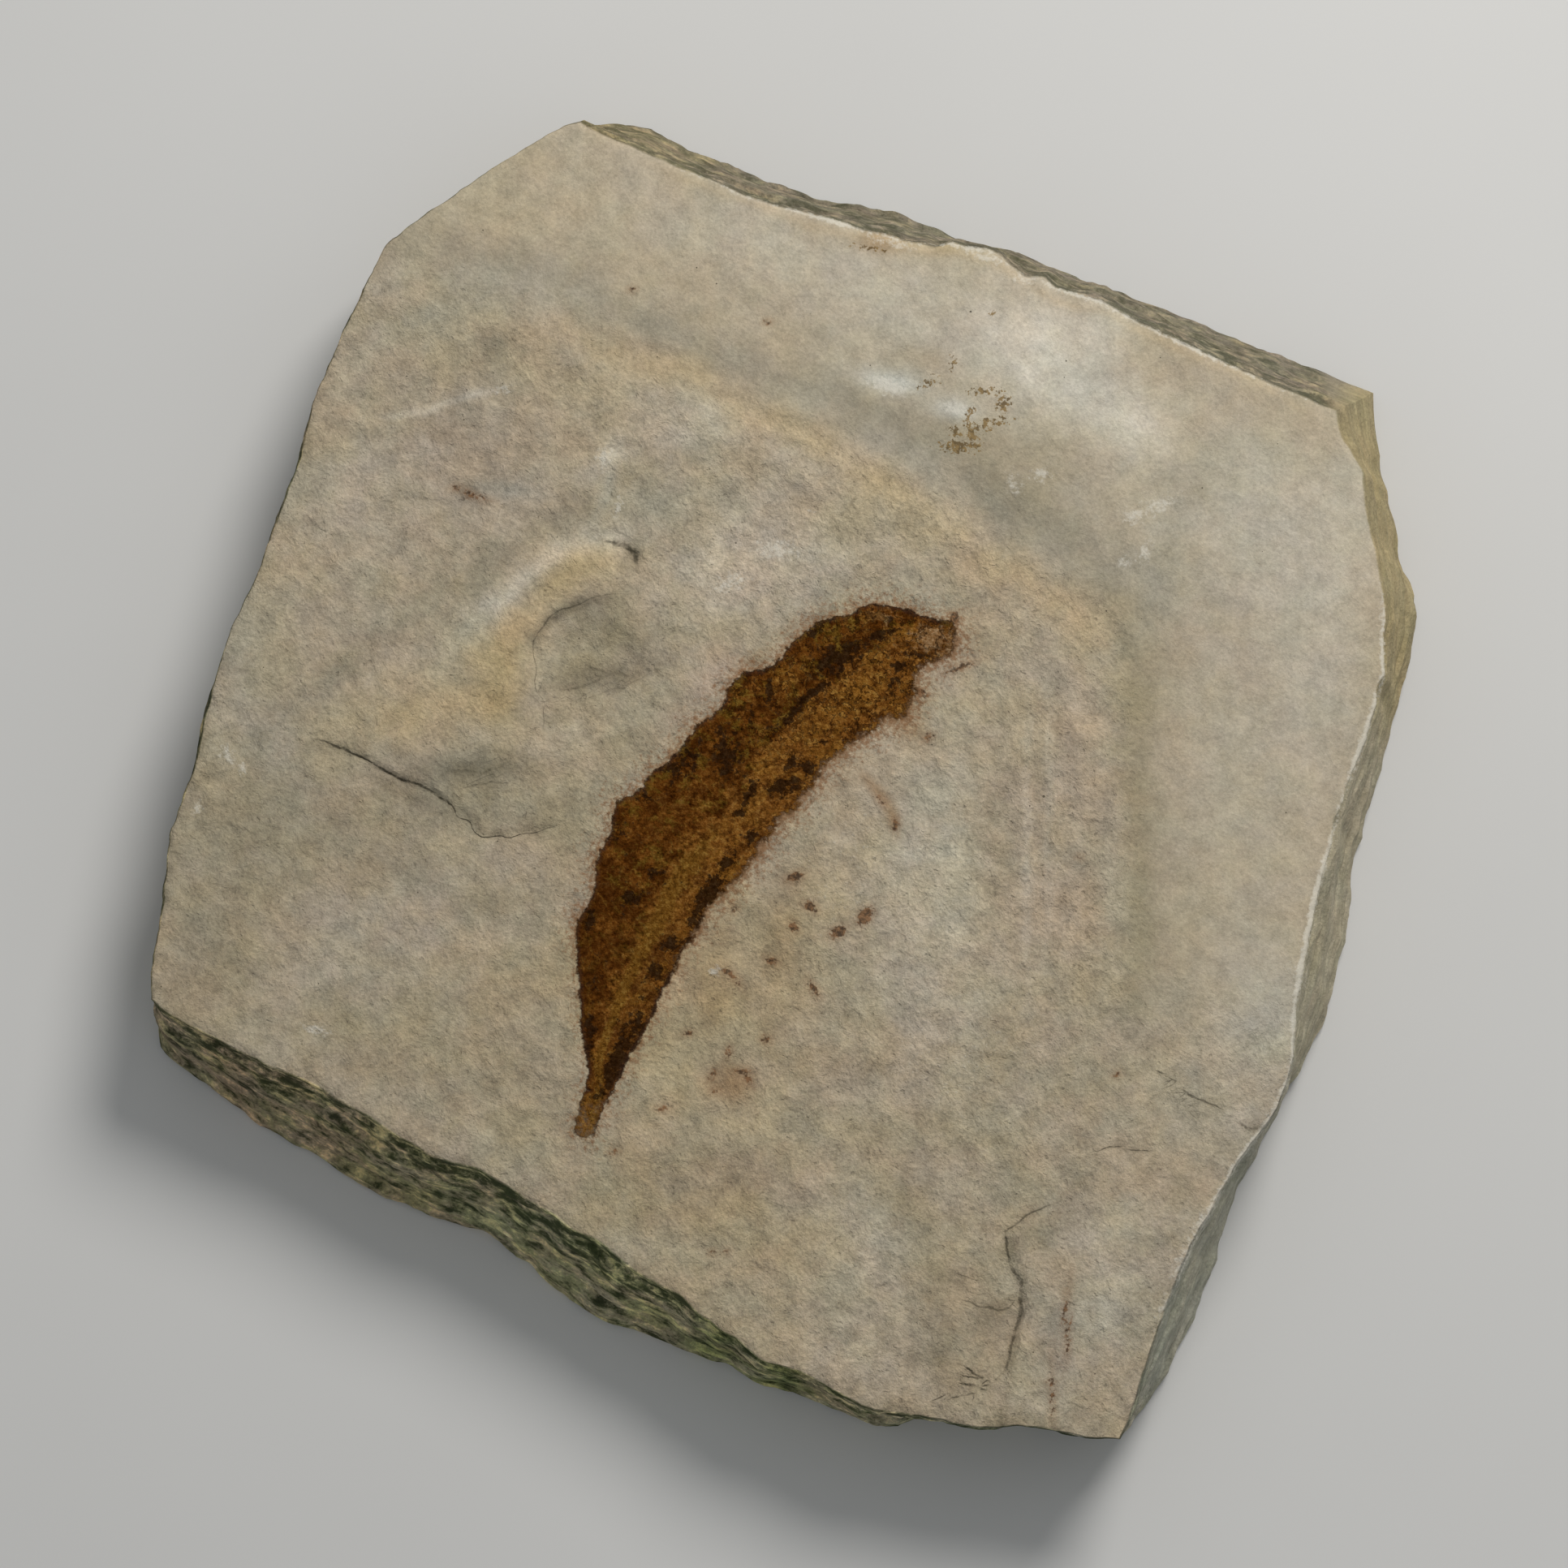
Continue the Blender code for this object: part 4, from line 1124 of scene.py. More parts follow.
def make_piece(name: str, points: Array, faces: list[list[int]], fields: Fields, crease: float) -> Object:
    """A named object at the origin whose mesh holds the points, faces and attributes.

    Args:
        name: the piece's name.
        points: the points, in millimetres.
        faces: the point numbers of each face, seen anticlockwise from outside.
        fields: colours under "tint" and vectors under the other names, one for each point.
        crease: the angle between two faces past which their edge is sharp, in degrees.

    Returns:
        The object, linked to the scene.
    """
    mesh = bpy.data.meshes.new(name)
    mesh.from_pydata((points * MM).tolist(), [], faces)
    for label, values in fields.items():
        if label == "tint":
            layer = mesh.attributes.new(label, "FLOAT_COLOR", "POINT")
            coloured = np.column_stack([values, np.ones(len(values))])
            layer.data.foreach_set("color", coloured.astype(np.float32).ravel())
        else:
            layer = mesh.attributes.new(label, "FLOAT_VECTOR", "POINT")
            layer.data.foreach_set("vector", values.astype(np.float32).ravel())
    mesh.shade_smooth()
    mesh.set_sharp_from_angle(angle=np.radians(crease))
    return linked(name, mesh)


# Shader graphs


class Blend(Enum):
    """How one colour is laid over another."""

    OVER = "MIX"
    MULTIPLY = "MULTIPLY"


@dataclass(frozen=True)
class Wire:
    """A value on its way through a shader. What is done with it makes the nodes that work it out."""

    graph: "Graph"
    socket: Socket

    def through(self, kind: str, inputs: Inputs, **settings: Any) -> "Wire":
        """The first output of a new node."""
        return self.graph.wire(self.graph.node(kind, inputs, **settings))

    def maths(self, operation: str, other: Value = 0) -> "Wire":
        """The result of a maths node on this number and another."""
        return self.through("ShaderNodeMath", {0: self, 1: other}, operation=operation)

    def __add__(self, other: Value) -> "Wire":
        """This number plus another."""
        return self.maths("ADD", other)

    def __radd__(self, other: Value) -> "Wire":
        """Another number plus this one."""
        return self + other

    def __sub__(self, other: Value) -> "Wire":
        """This number less another."""
        return self.maths("SUBTRACT", other)

    def __rsub__(self, other: Value) -> "Wire":
        """Another number less this one."""
        return self * -1 + other

    def __mul__(self, other: Value) -> "Wire":
        """This number times another."""
        return self.maths("MULTIPLY", other)

    def __truediv__(self, other: Value) -> "Wire":
        """This number divided by another."""
        return self.maths("DIVIDE", other)

    def __abs__(self) -> "Wire":
        """This number without its sign."""
        return self.maths("ABSOLUTE")

    def swing(self, amount: float) -> "Wire":
        """A number from 0 to 1 turned into one from -amount to amount."""
        return (self - 0.5) * (2 * amount)

    def step(self, low: float, high: float) -> "Wire":
        """A smooth step of this number, from 0 at low to 1 at high, which may lie below low."""
        inputs = {"Value": self, "From Min": low, "From Max": high}
        return self.through("ShaderNodeMapRange", inputs, interpolation_type="SMOOTHSTEP")

    def scaled(self, factors: Triple) -> "Wire":
        """This place with each of its three parts multiplied by a factor."""
        return self.through("ShaderNodeVectorMath", {0: self, 1: factors}, operation="MULTIPLY")

    def split(self) -> tuple["Wire", "Wire", "Wire"]:
        """The three parts of this place or colour."""
        node = self.graph.node("ShaderNodeSeparateXYZ", {0: self})
        return self.graph.wire(node, 0), self.graph.wire(node, 1), self.graph.wire(node, 2)

    def noise(self, per_mm: float, detail: float = 2, roughness: float = 0.5) -> "Wire":
        """Soft random values around 0.5 here: lumps in a millimetre, finer layers and their strength."""
        inputs = {"Vector": self, "Scale": per_mm, "Detail": detail, "Roughness": roughness}
        return self.through("ShaderNodeTexNoise", inputs)

    def blend(self, base: Value, top: Value, how: Blend = Blend.OVER) -> "Wire":
        """One colour laid over another, with this number as the share of the top one that shows.

        Args:
            base: the colour below.
            top: the colour above.
            how: the way of laying it.

        Returns:
            The mixed colour.
        """
        made = self.graph.node("ShaderNodeMix", {0: self}, data_type="RGBA", blend_type=how.value)
        colours = [socket for socket in made.inputs if socket.type == "RGBA"]
        self.graph.feed(colours[0], opaque(base))
        self.graph.feed(colours[1], opaque(top))
        return Wire(self.graph, [socket for socket in made.outputs if socket.type == "RGBA"][0])

    def brightened(self, factor: Value) -> "Wire":
        """This colour multiplied by a number."""
        return self.through("ShaderNodeVectorMath", {0: self, 3: factor}, operation="SCALE")

    def speckled(self, amount: Value, weights: Triple) -> "Wire":
        """This colour with its three parts grown by an amount times their own weights."""
        raised = self.through("ShaderNodeVectorMath", {0: weights, 3: amount}, operation="SCALE")
        return self.through("ShaderNodeVectorMath", {0: self, 1: raised, 2: self}, operation="MULTIPLY_ADD")


class Graph:
    """Makes a shader's nodes and joins them."""

    def __init__(self, tree: NodeTree) -> None:
        """Starts on a node tree, which keeps the nodes that it has."""
        self.tree = tree

    def node(self, kind: str, inputs: Inputs | None = None, **settings: Any) -> bpy.types.Node:
        """A new node.

        Args:
            kind: the node's type name.
            inputs: a value or a wire for each input, by name or number.
            settings: the node's own properties.

        Returns:
            The node.
        """
        made = self.tree.nodes.new(kind)
        for name, value in settings.items():
            setattr(made, name, value)
        for key, value in (inputs or {}).items():
            self.feed(made.inputs[key], value)
        return made

    def feed(self, target: Socket, value: Value) -> None:
        """Gives an input its value, or joins it to the wire that the value comes from."""
        if isinstance(value, Wire):
            self.tree.links.new(value.socket, target)
        else:
            target.default_value = value

    def wire(self, node: bpy.types.Node, output: Union[str, int] = 0) -> Wire:
        """The wire out of a node."""
        return Wire(self, node.outputs[output])

    def attribute(self, name: str, output: str) -> Wire:
        """A mesh attribute, read as a colour or a vector."""
        return self.wire(self.node("ShaderNodeAttribute", attribute_name=name), output)

    def parts(self, name: str) -> tuple[Wire, Wire, Wire]:
        """The three parts of a vector attribute."""
        return self.attribute(name, "Vector").split()

    def plate_place(self) -> Wire:
        """The place on the plate in millimetres."""
        return self.wire(self.node("ShaderNodeTexCoord"), "Object").scaled((1 / MM, 1 / MM, 1 / MM))


def opaque(colour: Value) -> Value:
    """A colour of three parts with full opacity added, and a wire as it is."""
    return (*colour, 1) if isinstance(colour, tuple) else colour


def new_material(name: str) -> tuple[Material, Graph]:
    """A new material with a Principled shader, and its graph."""
    material = bpy.data.materials.new(name)
    material.use_nodes = True
    return material, Graph(material.node_tree)


def finish_surface(colour: Wire, roughness: Wire, height: Wire, specular: float) -> None:
    """Joins a colour, roughness and bump height to the material's Principled shader.

    Args:
        colour: the base colour.
        roughness: the roughness.
        height: the bump height in millimetres.
        specular: the specular level, the same all over.
    """
    graph = colour.graph
    shader = graph.tree.nodes["Principled BSDF"]
    shader.inputs["Specular IOR Level"].default_value = specular
    bump = graph.node("ShaderNodeBump", {"Strength": 1, "Distance": MM, "Height": height})
    graph.feed(shader.inputs["Base Color"], colour)
    graph.feed(shader.inputs["Roughness"], roughness)
    graph.feed(shader.inputs["Normal"], graph.wire(bump))


# Finishes


@dataclass(frozen=True)
class ShaleFinish:
    """Pale, fine-grained shale: mottled and dusty on the face, streaked by its beds on the sides."""

    name: str = "pale shale"
    cloud: float = 0.24
    dapple: float = 0.42
    grain: float = 0.36
    pit_shade: float = 0.17
    slant: float = RELIEF.grain_turn
    warm: Triple = (1.05, 1, 0.92)
    cool: Triple = (0.965, 1, 1.06)
    pink: Triple = (1.02, 0.985, 1)
    green: Triple = (0.985, 1.012, 0.985)
    # The colour of cracks and pinholes, and of the painted shade beside cracks and at the feet of small steps
    crack: Triple = albedo(58, 53, 40)
    spot: Triple = albedo(56, 38, 24)
    fleck: Triple = albedo(128, 103, 60)
    rust: Triple = albedo(92, 72, 38)
    chalk: Triple = albedo(206, 200, 186)
    stain: Triple = albedo(128, 93, 62)
    dark_bed: Triple = (0.2, 0.25, 0.17)
    pale_bed: Triple = (1.68, 1.58, 1.45)
    moss: Triple = (0.76, 0.83, 0.6)
    flush: Triple = (1.03, 0.96, 0.92)
    pore_kinds: Line = ((0.17, 0.15), (0.55, 0.085))
    roughness: float = 0.88
    specular: float = 0.2

    def slanted(self, place: Wire) -> Wire:
        """The axes of the bedding plane's grain: turned, drawn out in a slanting direction and a little bent.

        Args:
            place: the place on the plate in millimetres.

        Returns:
            The place in those axes.
        """
        swirl = place.graph.node("ShaderNodeTexNoise", {"Vector": place, "Scale": 0.4, "Detail": 2})
        bend = {0: place.graph.wire(swirl, "Color"), 1: (1.2, 1.2, 0), 2: place}
        bent = place.through("ShaderNodeVectorMath", bend, operation="MULTIPLY_ADD")
        axes = {"Vector": bent, "Rotation": (0, 0, float(np.radians(self.slant))), "Scale": (1.14, 1, 1)}
        return place.through("ShaderNodeMapping", axes, vector_type="TEXTURE")

    def mottled(self, place: Wire, slanted: Wire, pits: Wire, rough: Wire) -> Wire:
        """The tint with soft clouds, a slanting dapple, fine grain, pits and a drift between warm and cool.

        Args:
            place: the place on the plate in millimetres.
            slanted: the grain of the bedding plane.
            pits: 1 in a small pit and 0 elsewhere.
            rough: how rough the bedding plane is.

        Returns:
            The colour.
        """
        clouds = place.noise(0.24, 5, 0.68).swing(self.cloud)
        dapple = slanted.swing(self.dapple) * (0.64 + rough * 0.66)
        grain = place.noise(3, 4, 0.75).swing(self.grain) * (1.1 + rough * 0.42)
        sunk = pits * (rough * -self.pit_shade)
        colour = place.graph.attribute("tint", "Color").brightened(1 + clouds + dapple + grain + sunk)
        share = 0.4 + rough * 0.4
        drift = place.noise(0.2, 5, 0.62).step(0.3, 0.7)
        colour = share.blend(colour, drift.blend(self.cool, self.warm), Blend.MULTIPLY)
        blush = place.scaled((1, 1, 3)).noise(0.16, 4, 0.6).step(0.35, 0.65)
        return share.blend(colour, blush.blend(self.green, self.pink), Blend.MULTIPLY)

    def bedded(self, place: Wire, colour: Wire, on_side: Wire, rough: Wire) -> tuple[Wire, Wire]:
        """The broken sides' thin beds: noise drawn out along them, dark, pale and mossy, and fine lines.

        The dark beds gather under the rim, and are faint where the plate is smooth.

        Args:
            place: the place on the plate in millimetres.
            colour: the colour so far.
            on_side: 1 on the sides and 0 on the face.
            rough: how boldly the beds show.

        Returns:
            The colour with the beds, and the beds' own values from 0 to 1.
        """
        beds = place.scaled((0.4, 0.4, 0.88)).noise(1, 7, 0.72)
        lines = place.scaled((0.2, 0.2, 3.6)).noise(1, 5, 0.7)
        blots = place.scaled((0.24, 0.24, 0.4)).noise(1, 4, 0.64)
        crown = (place.split()[2] + blots.swing(9)).step(5, 11.5)
        strength = on_side * rough
        mossy = blots.step(0.4, 0.58).blend(self.flush, self.moss)
        colour = (strength * 0.75).blend(colour, mossy, Blend.MULTIPLY)
        dark = (beds - crown * 0.08).step(0.52, 0.36) * strength
        colour = dark.blend(colour, self.dark_bed, Blend.MULTIPLY)
        pale = beds.step(0.52, 0.62) * strength
        colour = pale.blend(colour, self.pale_bed, Blend.MULTIPLY)
        fine = (lines.swing(0.5) + 0.03) * on_side
        return colour.brightened(1 + fine + beds.swing(1) * strength), beds

    def marked(self, place: Wire, colour: Wire) -> tuple[Wire, Wire, Wire]:
        """Spots, flecks, scuffs, the leaf's halo, pores and cracks laid over the stone.

        Beside the cracks and at the feet of small steps a soft dark band is painted shade.

        Args:
            place: the place on the plate in millimetres.
            colour: the colour so far.

        Returns:
            The colour, and the masks of the cracks, with the painted step shadows, and of the pores.
        """
        away, darkness, from_spot = place.graph.parts("lines")
        flecks, chalk, halo = place.graph.parts("dust")
        wisps = place.noise(2.2, 5, 0.7)
        ragged = place.noise(3.2, 3, 0.6)
        stained = (halo + wisps.swing(1.3)).step(0.18, 0.88) * halo.step(0.02, 0.25)
        colour = (stained * 0.85).blend(colour, self.stain)
        chalky = (chalk + wisps.swing(1.6)).step(0.45, 1.3) * chalk.step(0.02, 0.3)
        colour = (chalky * 0.65).blend(colour, self.chalk)
        spot_edge = from_spot + ragged.swing(0.4)
        colour = (spot_edge.step(0.7, 0) * 0.3).blend(colour, self.stain)
        spot_tone = wisps.step(0.4, 0.6).blend(self.spot, self.stain)
        colour = (spot_edge.step(0.19, 0) * 0.88).blend(colour, spot_tone)
        crumbs = place.noise(2.9, 2.5, 0.6)
        flecked = (flecks * 0.5 + crumbs.swing(1)).step(0.33, 0.48) * flecks.step(0.1, 0.35)
        fleck_tone = place.noise(1.4).step(0.45, 0.55).blend(self.fleck, self.rust)
        colour = (flecked * 0.85).blend(colour, fleck_tone)
        pores = self.pores(place)
        colour = (pores * 0.75).blend(colour, self.crack)
        across = abs(away + ragged.swing(1.2))
        uneven = place.noise(0.9, 3, 0.6).step(0.3, 0.6)
        # Painted shade: a soft dark band along the cracks, as below the edge of a small step
        crack_shadow = across.step(4, 0.5) * (darkness * uneven)
        colour = (crack_shadow * 0.32).blend(colour, self.crack)
        # The dark lines themselves: cracks, and painted shadow at the feet of small steps
        cracks = across.step(1.5, 0.3) * darkness.step(0, 0.9) * (0.35 + uneven * 0.6)
        return cracks.blend(colour, self.crack), cracks, pores

    def pores(self, place: Wire) -> Wire:
        """Tiny dark pinholes, one at most in each Voronoi cell, their size drawn from the cell's colour.

        Args:
            place: the place on the plate in millimetres.

        Returns:
            1 inside a pinhole and 0 elsewhere.
        """
        cover: Value = 0
        for per_mm, radius in self.pore_kinds:
            cells = place.graph.node("ShaderNodeTexVoronoi", {"Vector": place, "Scale": per_mm})
            chance = place.graph.wire(cells, "Color").split()[0]
            size = chance.step(0.35, 1.1) * (radius * per_mm)
            hole = (place.graph.wire(cells, "Distance") - size).step(0.004, -0.006)
            cover = hole.maths("MAXIMUM", cover)
        return cover

    def group(self) -> NodeTree:
        """The finish as a node group, which the slab and the leaf's margin share.

        Returns:
            A group that puts out the colour, the roughness and the bump height in millimetres.
        """
        tree = bpy.data.node_groups.new(self.name, "ShaderNodeTree")
        for label, kind in (("Color", "Color"), ("Roughness", "Float"), ("Height", "Float")):
            tree.interface.new_socket(label, in_out="OUTPUT", socket_type=f"NodeSocket{kind}")
        graph = Graph(tree)
        place = graph.plate_place()
        rough, on_side, under = graph.parts("place")
        axes = self.slanted(place)
        slanted = axes.noise(0.62, 6, 0.63)
        pits = axes.noise(1.7).step(0.36, 0.28)
        colour = self.mottled(place, slanted, pits, rough)
        colour, beds = self.bedded(place, colour, on_side - under, rough)
        colour, cracks, pores = self.marked(place, colour)
        lumps = slanted * (0.1 + rough * 0.43)
        grain = place.noise(2.2, 5, 0.72) * (0.05 + rough * 0.1)
        broken = (beds + place.noise(1.6, 5, 0.66) - 1) * on_side * (0.14 + rough * 0.4)
        holes = pits * (rough * -0.05) + cracks * -0.06 + pores * -0.06
        height = lumps + grain + broken + holes
        roughness = self.roughness + place.noise(2).swing(0.06)
        graph.node("NodeGroupOutput", {"Color": colour, "Roughness": roughness, "Height": height})
        return tree

    def material(self, group: NodeTree) -> Material:
        """The slab's material.

        Args:
            group: the finish's node group.

        Returns:
            The material.
        """
        material, graph = new_material(self.name)
        stone = graph.node("ShaderNodeGroup", node_tree=group)
        colour, roughness, height = (graph.wire(stone, number) for number in range(3))
        finish_surface(colour, roughness, height, self.specular)
        return material


@dataclass(frozen=True)
class CarbonFinish:
    """Brown carbonised leaf: dark and flecked left of the midrib, tan with black blots right of it."""

    name: str = "brown carbon film"
    dark: Triple = albedo(77, 41, 10)
    black: Triple = albedo(42, 24, 10)
    russet: Triple = albedo(108, 63, 20)
    olive: Triple = albedo(108, 80, 26)
    ochre: Triple = albedo(137, 91, 34)
    tan: Triple = albedo(126, 79, 30)
    brown: Triple = albedo(92, 54, 19)
    lane: Triple = albedo(120, 81, 28)
    tip: Triple = albedo(148, 114, 76)
    plum: Triple = albedo(66, 48, 40)
    glint_weights: Triple = (1, 1.7, 3)
    vein_spacing: float = 1.9
    vein_lean: float = 4.4
    roughness: float = 0.72
    specular: float = 0

    def blade(self, place: Wire, across: Wire, along: Wire) -> Wire:
        """The leaf's brown, from the midrib out to both margins.

        Args:
            place: the place on the plate in millimetres.
            across: the share of the way to the margin, below 0 on the left.
            along: the distance along the leaf in millimetres.

        Returns:
            The colour.
        """
        dark, pale, lane = place.graph.parts("blots")
        cloud = place.noise(0.5, 6, 0.7)
        drift = place.scaled((1, 1, 3)).noise(0.6, 6, 0.7).step(0.49, 0.62)
        crumbs = place.noise(1.1, 6, 0.76)
        upper = along.step(14, 30)
        lighter = cloud + upper * 0.08
        left = lighter.step(0.5, 0.66).blend(self.dark, self.russet)
        left = (drift * (0.2 + upper * 0.55)).blend(left, self.olive)
        right = lighter.step(0.46, 0.62).blend(self.brown, self.tan)
        right = (drift * 0.7).blend(right, self.ochre)
        colour = (across + cloud.swing(0.9)).step(-0.15, 0.15).blend(left, right)
        pale_tone = along.step(55, 58.5).blend(self.ochre, self.tip)
        colour = ((pale + crumbs.swing(1.8)).step(0.3, 1) * 0.65).blend(colour, pale_tone)
        colour = ((lane + crumbs.swing(0.8)).step(0.3, 0.8) * 0.8).blend(colour, self.lane)
        colour = (self.veins(place, across, along) * 0.4).blend(colour, self.lane)
        near_tip = along.step(30, 48)
        clotted = place.noise(0.85, 6, 0.74).step(0.46, 0.37) * (0.6 + near_tip * 0.25)
        colour = clotted.blend(colour, self.dark)
        threads = abs(place.noise(0.6, 4, 0.66) - 0.5).step(0.03, 0.008) * (0.15 + near_tip * 0.6)
        colour = threads.blend(colour, self.black)
        colour = ((dark + crumbs.swing(1.8)).step(0.38, 0.66) * 0.92).blend(colour, self.black)
        # The darker specks are flecks in the film; the lighter ones, lifted most in blue, are painted glints
        specks_and_glints = 0.02 + place.noise(2.4, 5, 0.78).swing(2) + crumbs.swing(0.9)
        colour = colour.brightened(1 + specks_and_glints.maths("MINIMUM"))
        return colour.speckled(specks_and_glints.maths("MAXIMUM"), self.glint_weights)

    def veins(self, place: Wire, across: Wire, along: Wire) -> Wire:
        """Fine side veins that leave the midrib towards the tip: thin bright lines of a slanting saw wave.

        Args:
            place: the place on the plate in millimetres.
            across: the share of the way to the margin, below 0 on the left.
            along: the distance along the leaf in millimetres.

        Returns:
            1 on a vein and 0 between veins.
        """
        turns = along - abs(across) * self.vein_lean + place.noise(0.5).swing(1.2)
        turns = turns * (1 / self.vein_spacing)
        gap = abs(turns.maths("FRACT") - 0.5)
        return gap.step(0.07, 0.02) * place.noise(1.1, 3, 0.6).step(0.4, 0.6)

    def material(self, shale: ShaleFinish, group: NodeTree) -> Material:
        """The leaf's material, which gives way to the stone at its ragged margin.

        Args:
            shale: the stone's finish.
            group: the stone's node group.

        Returns:
            The material.
        """
        material, graph = new_material(self.name)
        stone = graph.node("ShaderNodeGroup", node_tree=group)
        place = graph.plate_place()
        inside, across, along = graph.parts("film")
        frays = place.noise(1.1, 6, 0.72)
        on_right = across.step(-0.2, 0.3) * along.step(14, 24)
        reach = inside + 0.05 + (frays - 0.5) * (1.1 + on_right * 2.2)
        cover = (reach / (0.12 + on_right * 0.3)).step(-0.8, 0.8)
        worn = (along + frays.swing(8)).step(4, -3) * 0.45
        cover = cover * (1 - worn) * inside.step(-0.5, -0.25)
        edge = reach.step(0.5, 0) * (0.45 + on_right * -0.4)
        brown = edge.blend(self.blade(place, across, along), self.plum)
        colour = cover.blend(graph.wire(stone, "Color"), brown)
        height = graph.wire(stone, "Height") + cover * (place.noise(2, 5, 0.76) * 0.4 + 0.02)
        roughness = shale.roughness + cover * (self.roughness - shale.roughness)
        finish_surface(colour, roughness, height, self.specular)
        return material


@dataclass(frozen=True)
class FloorFinish:
    """A plain pale floor, faintly uneven so that it isn't one flat colour."""

    name: str = "pale floor"
    light: Triple = (0.66, 0.65, 0.63)
    dark: Triple = (0.62, 0.61, 0.59)
    roughness: float = 0.9

    def material(self) -> Material:
        """The floor's material.

        Returns:
            The material.
        """
        material, graph = new_material(self.name)
        shader = graph.tree.nodes["Principled BSDF"]
        shader.inputs["Roughness"].default_value = self.roughness
        cloud = graph.plate_place().noise(0.02, 3)
        graph.feed(shader.inputs["Base Color"], cloud.blend(self.light, self.dark))
        return material


# The slab


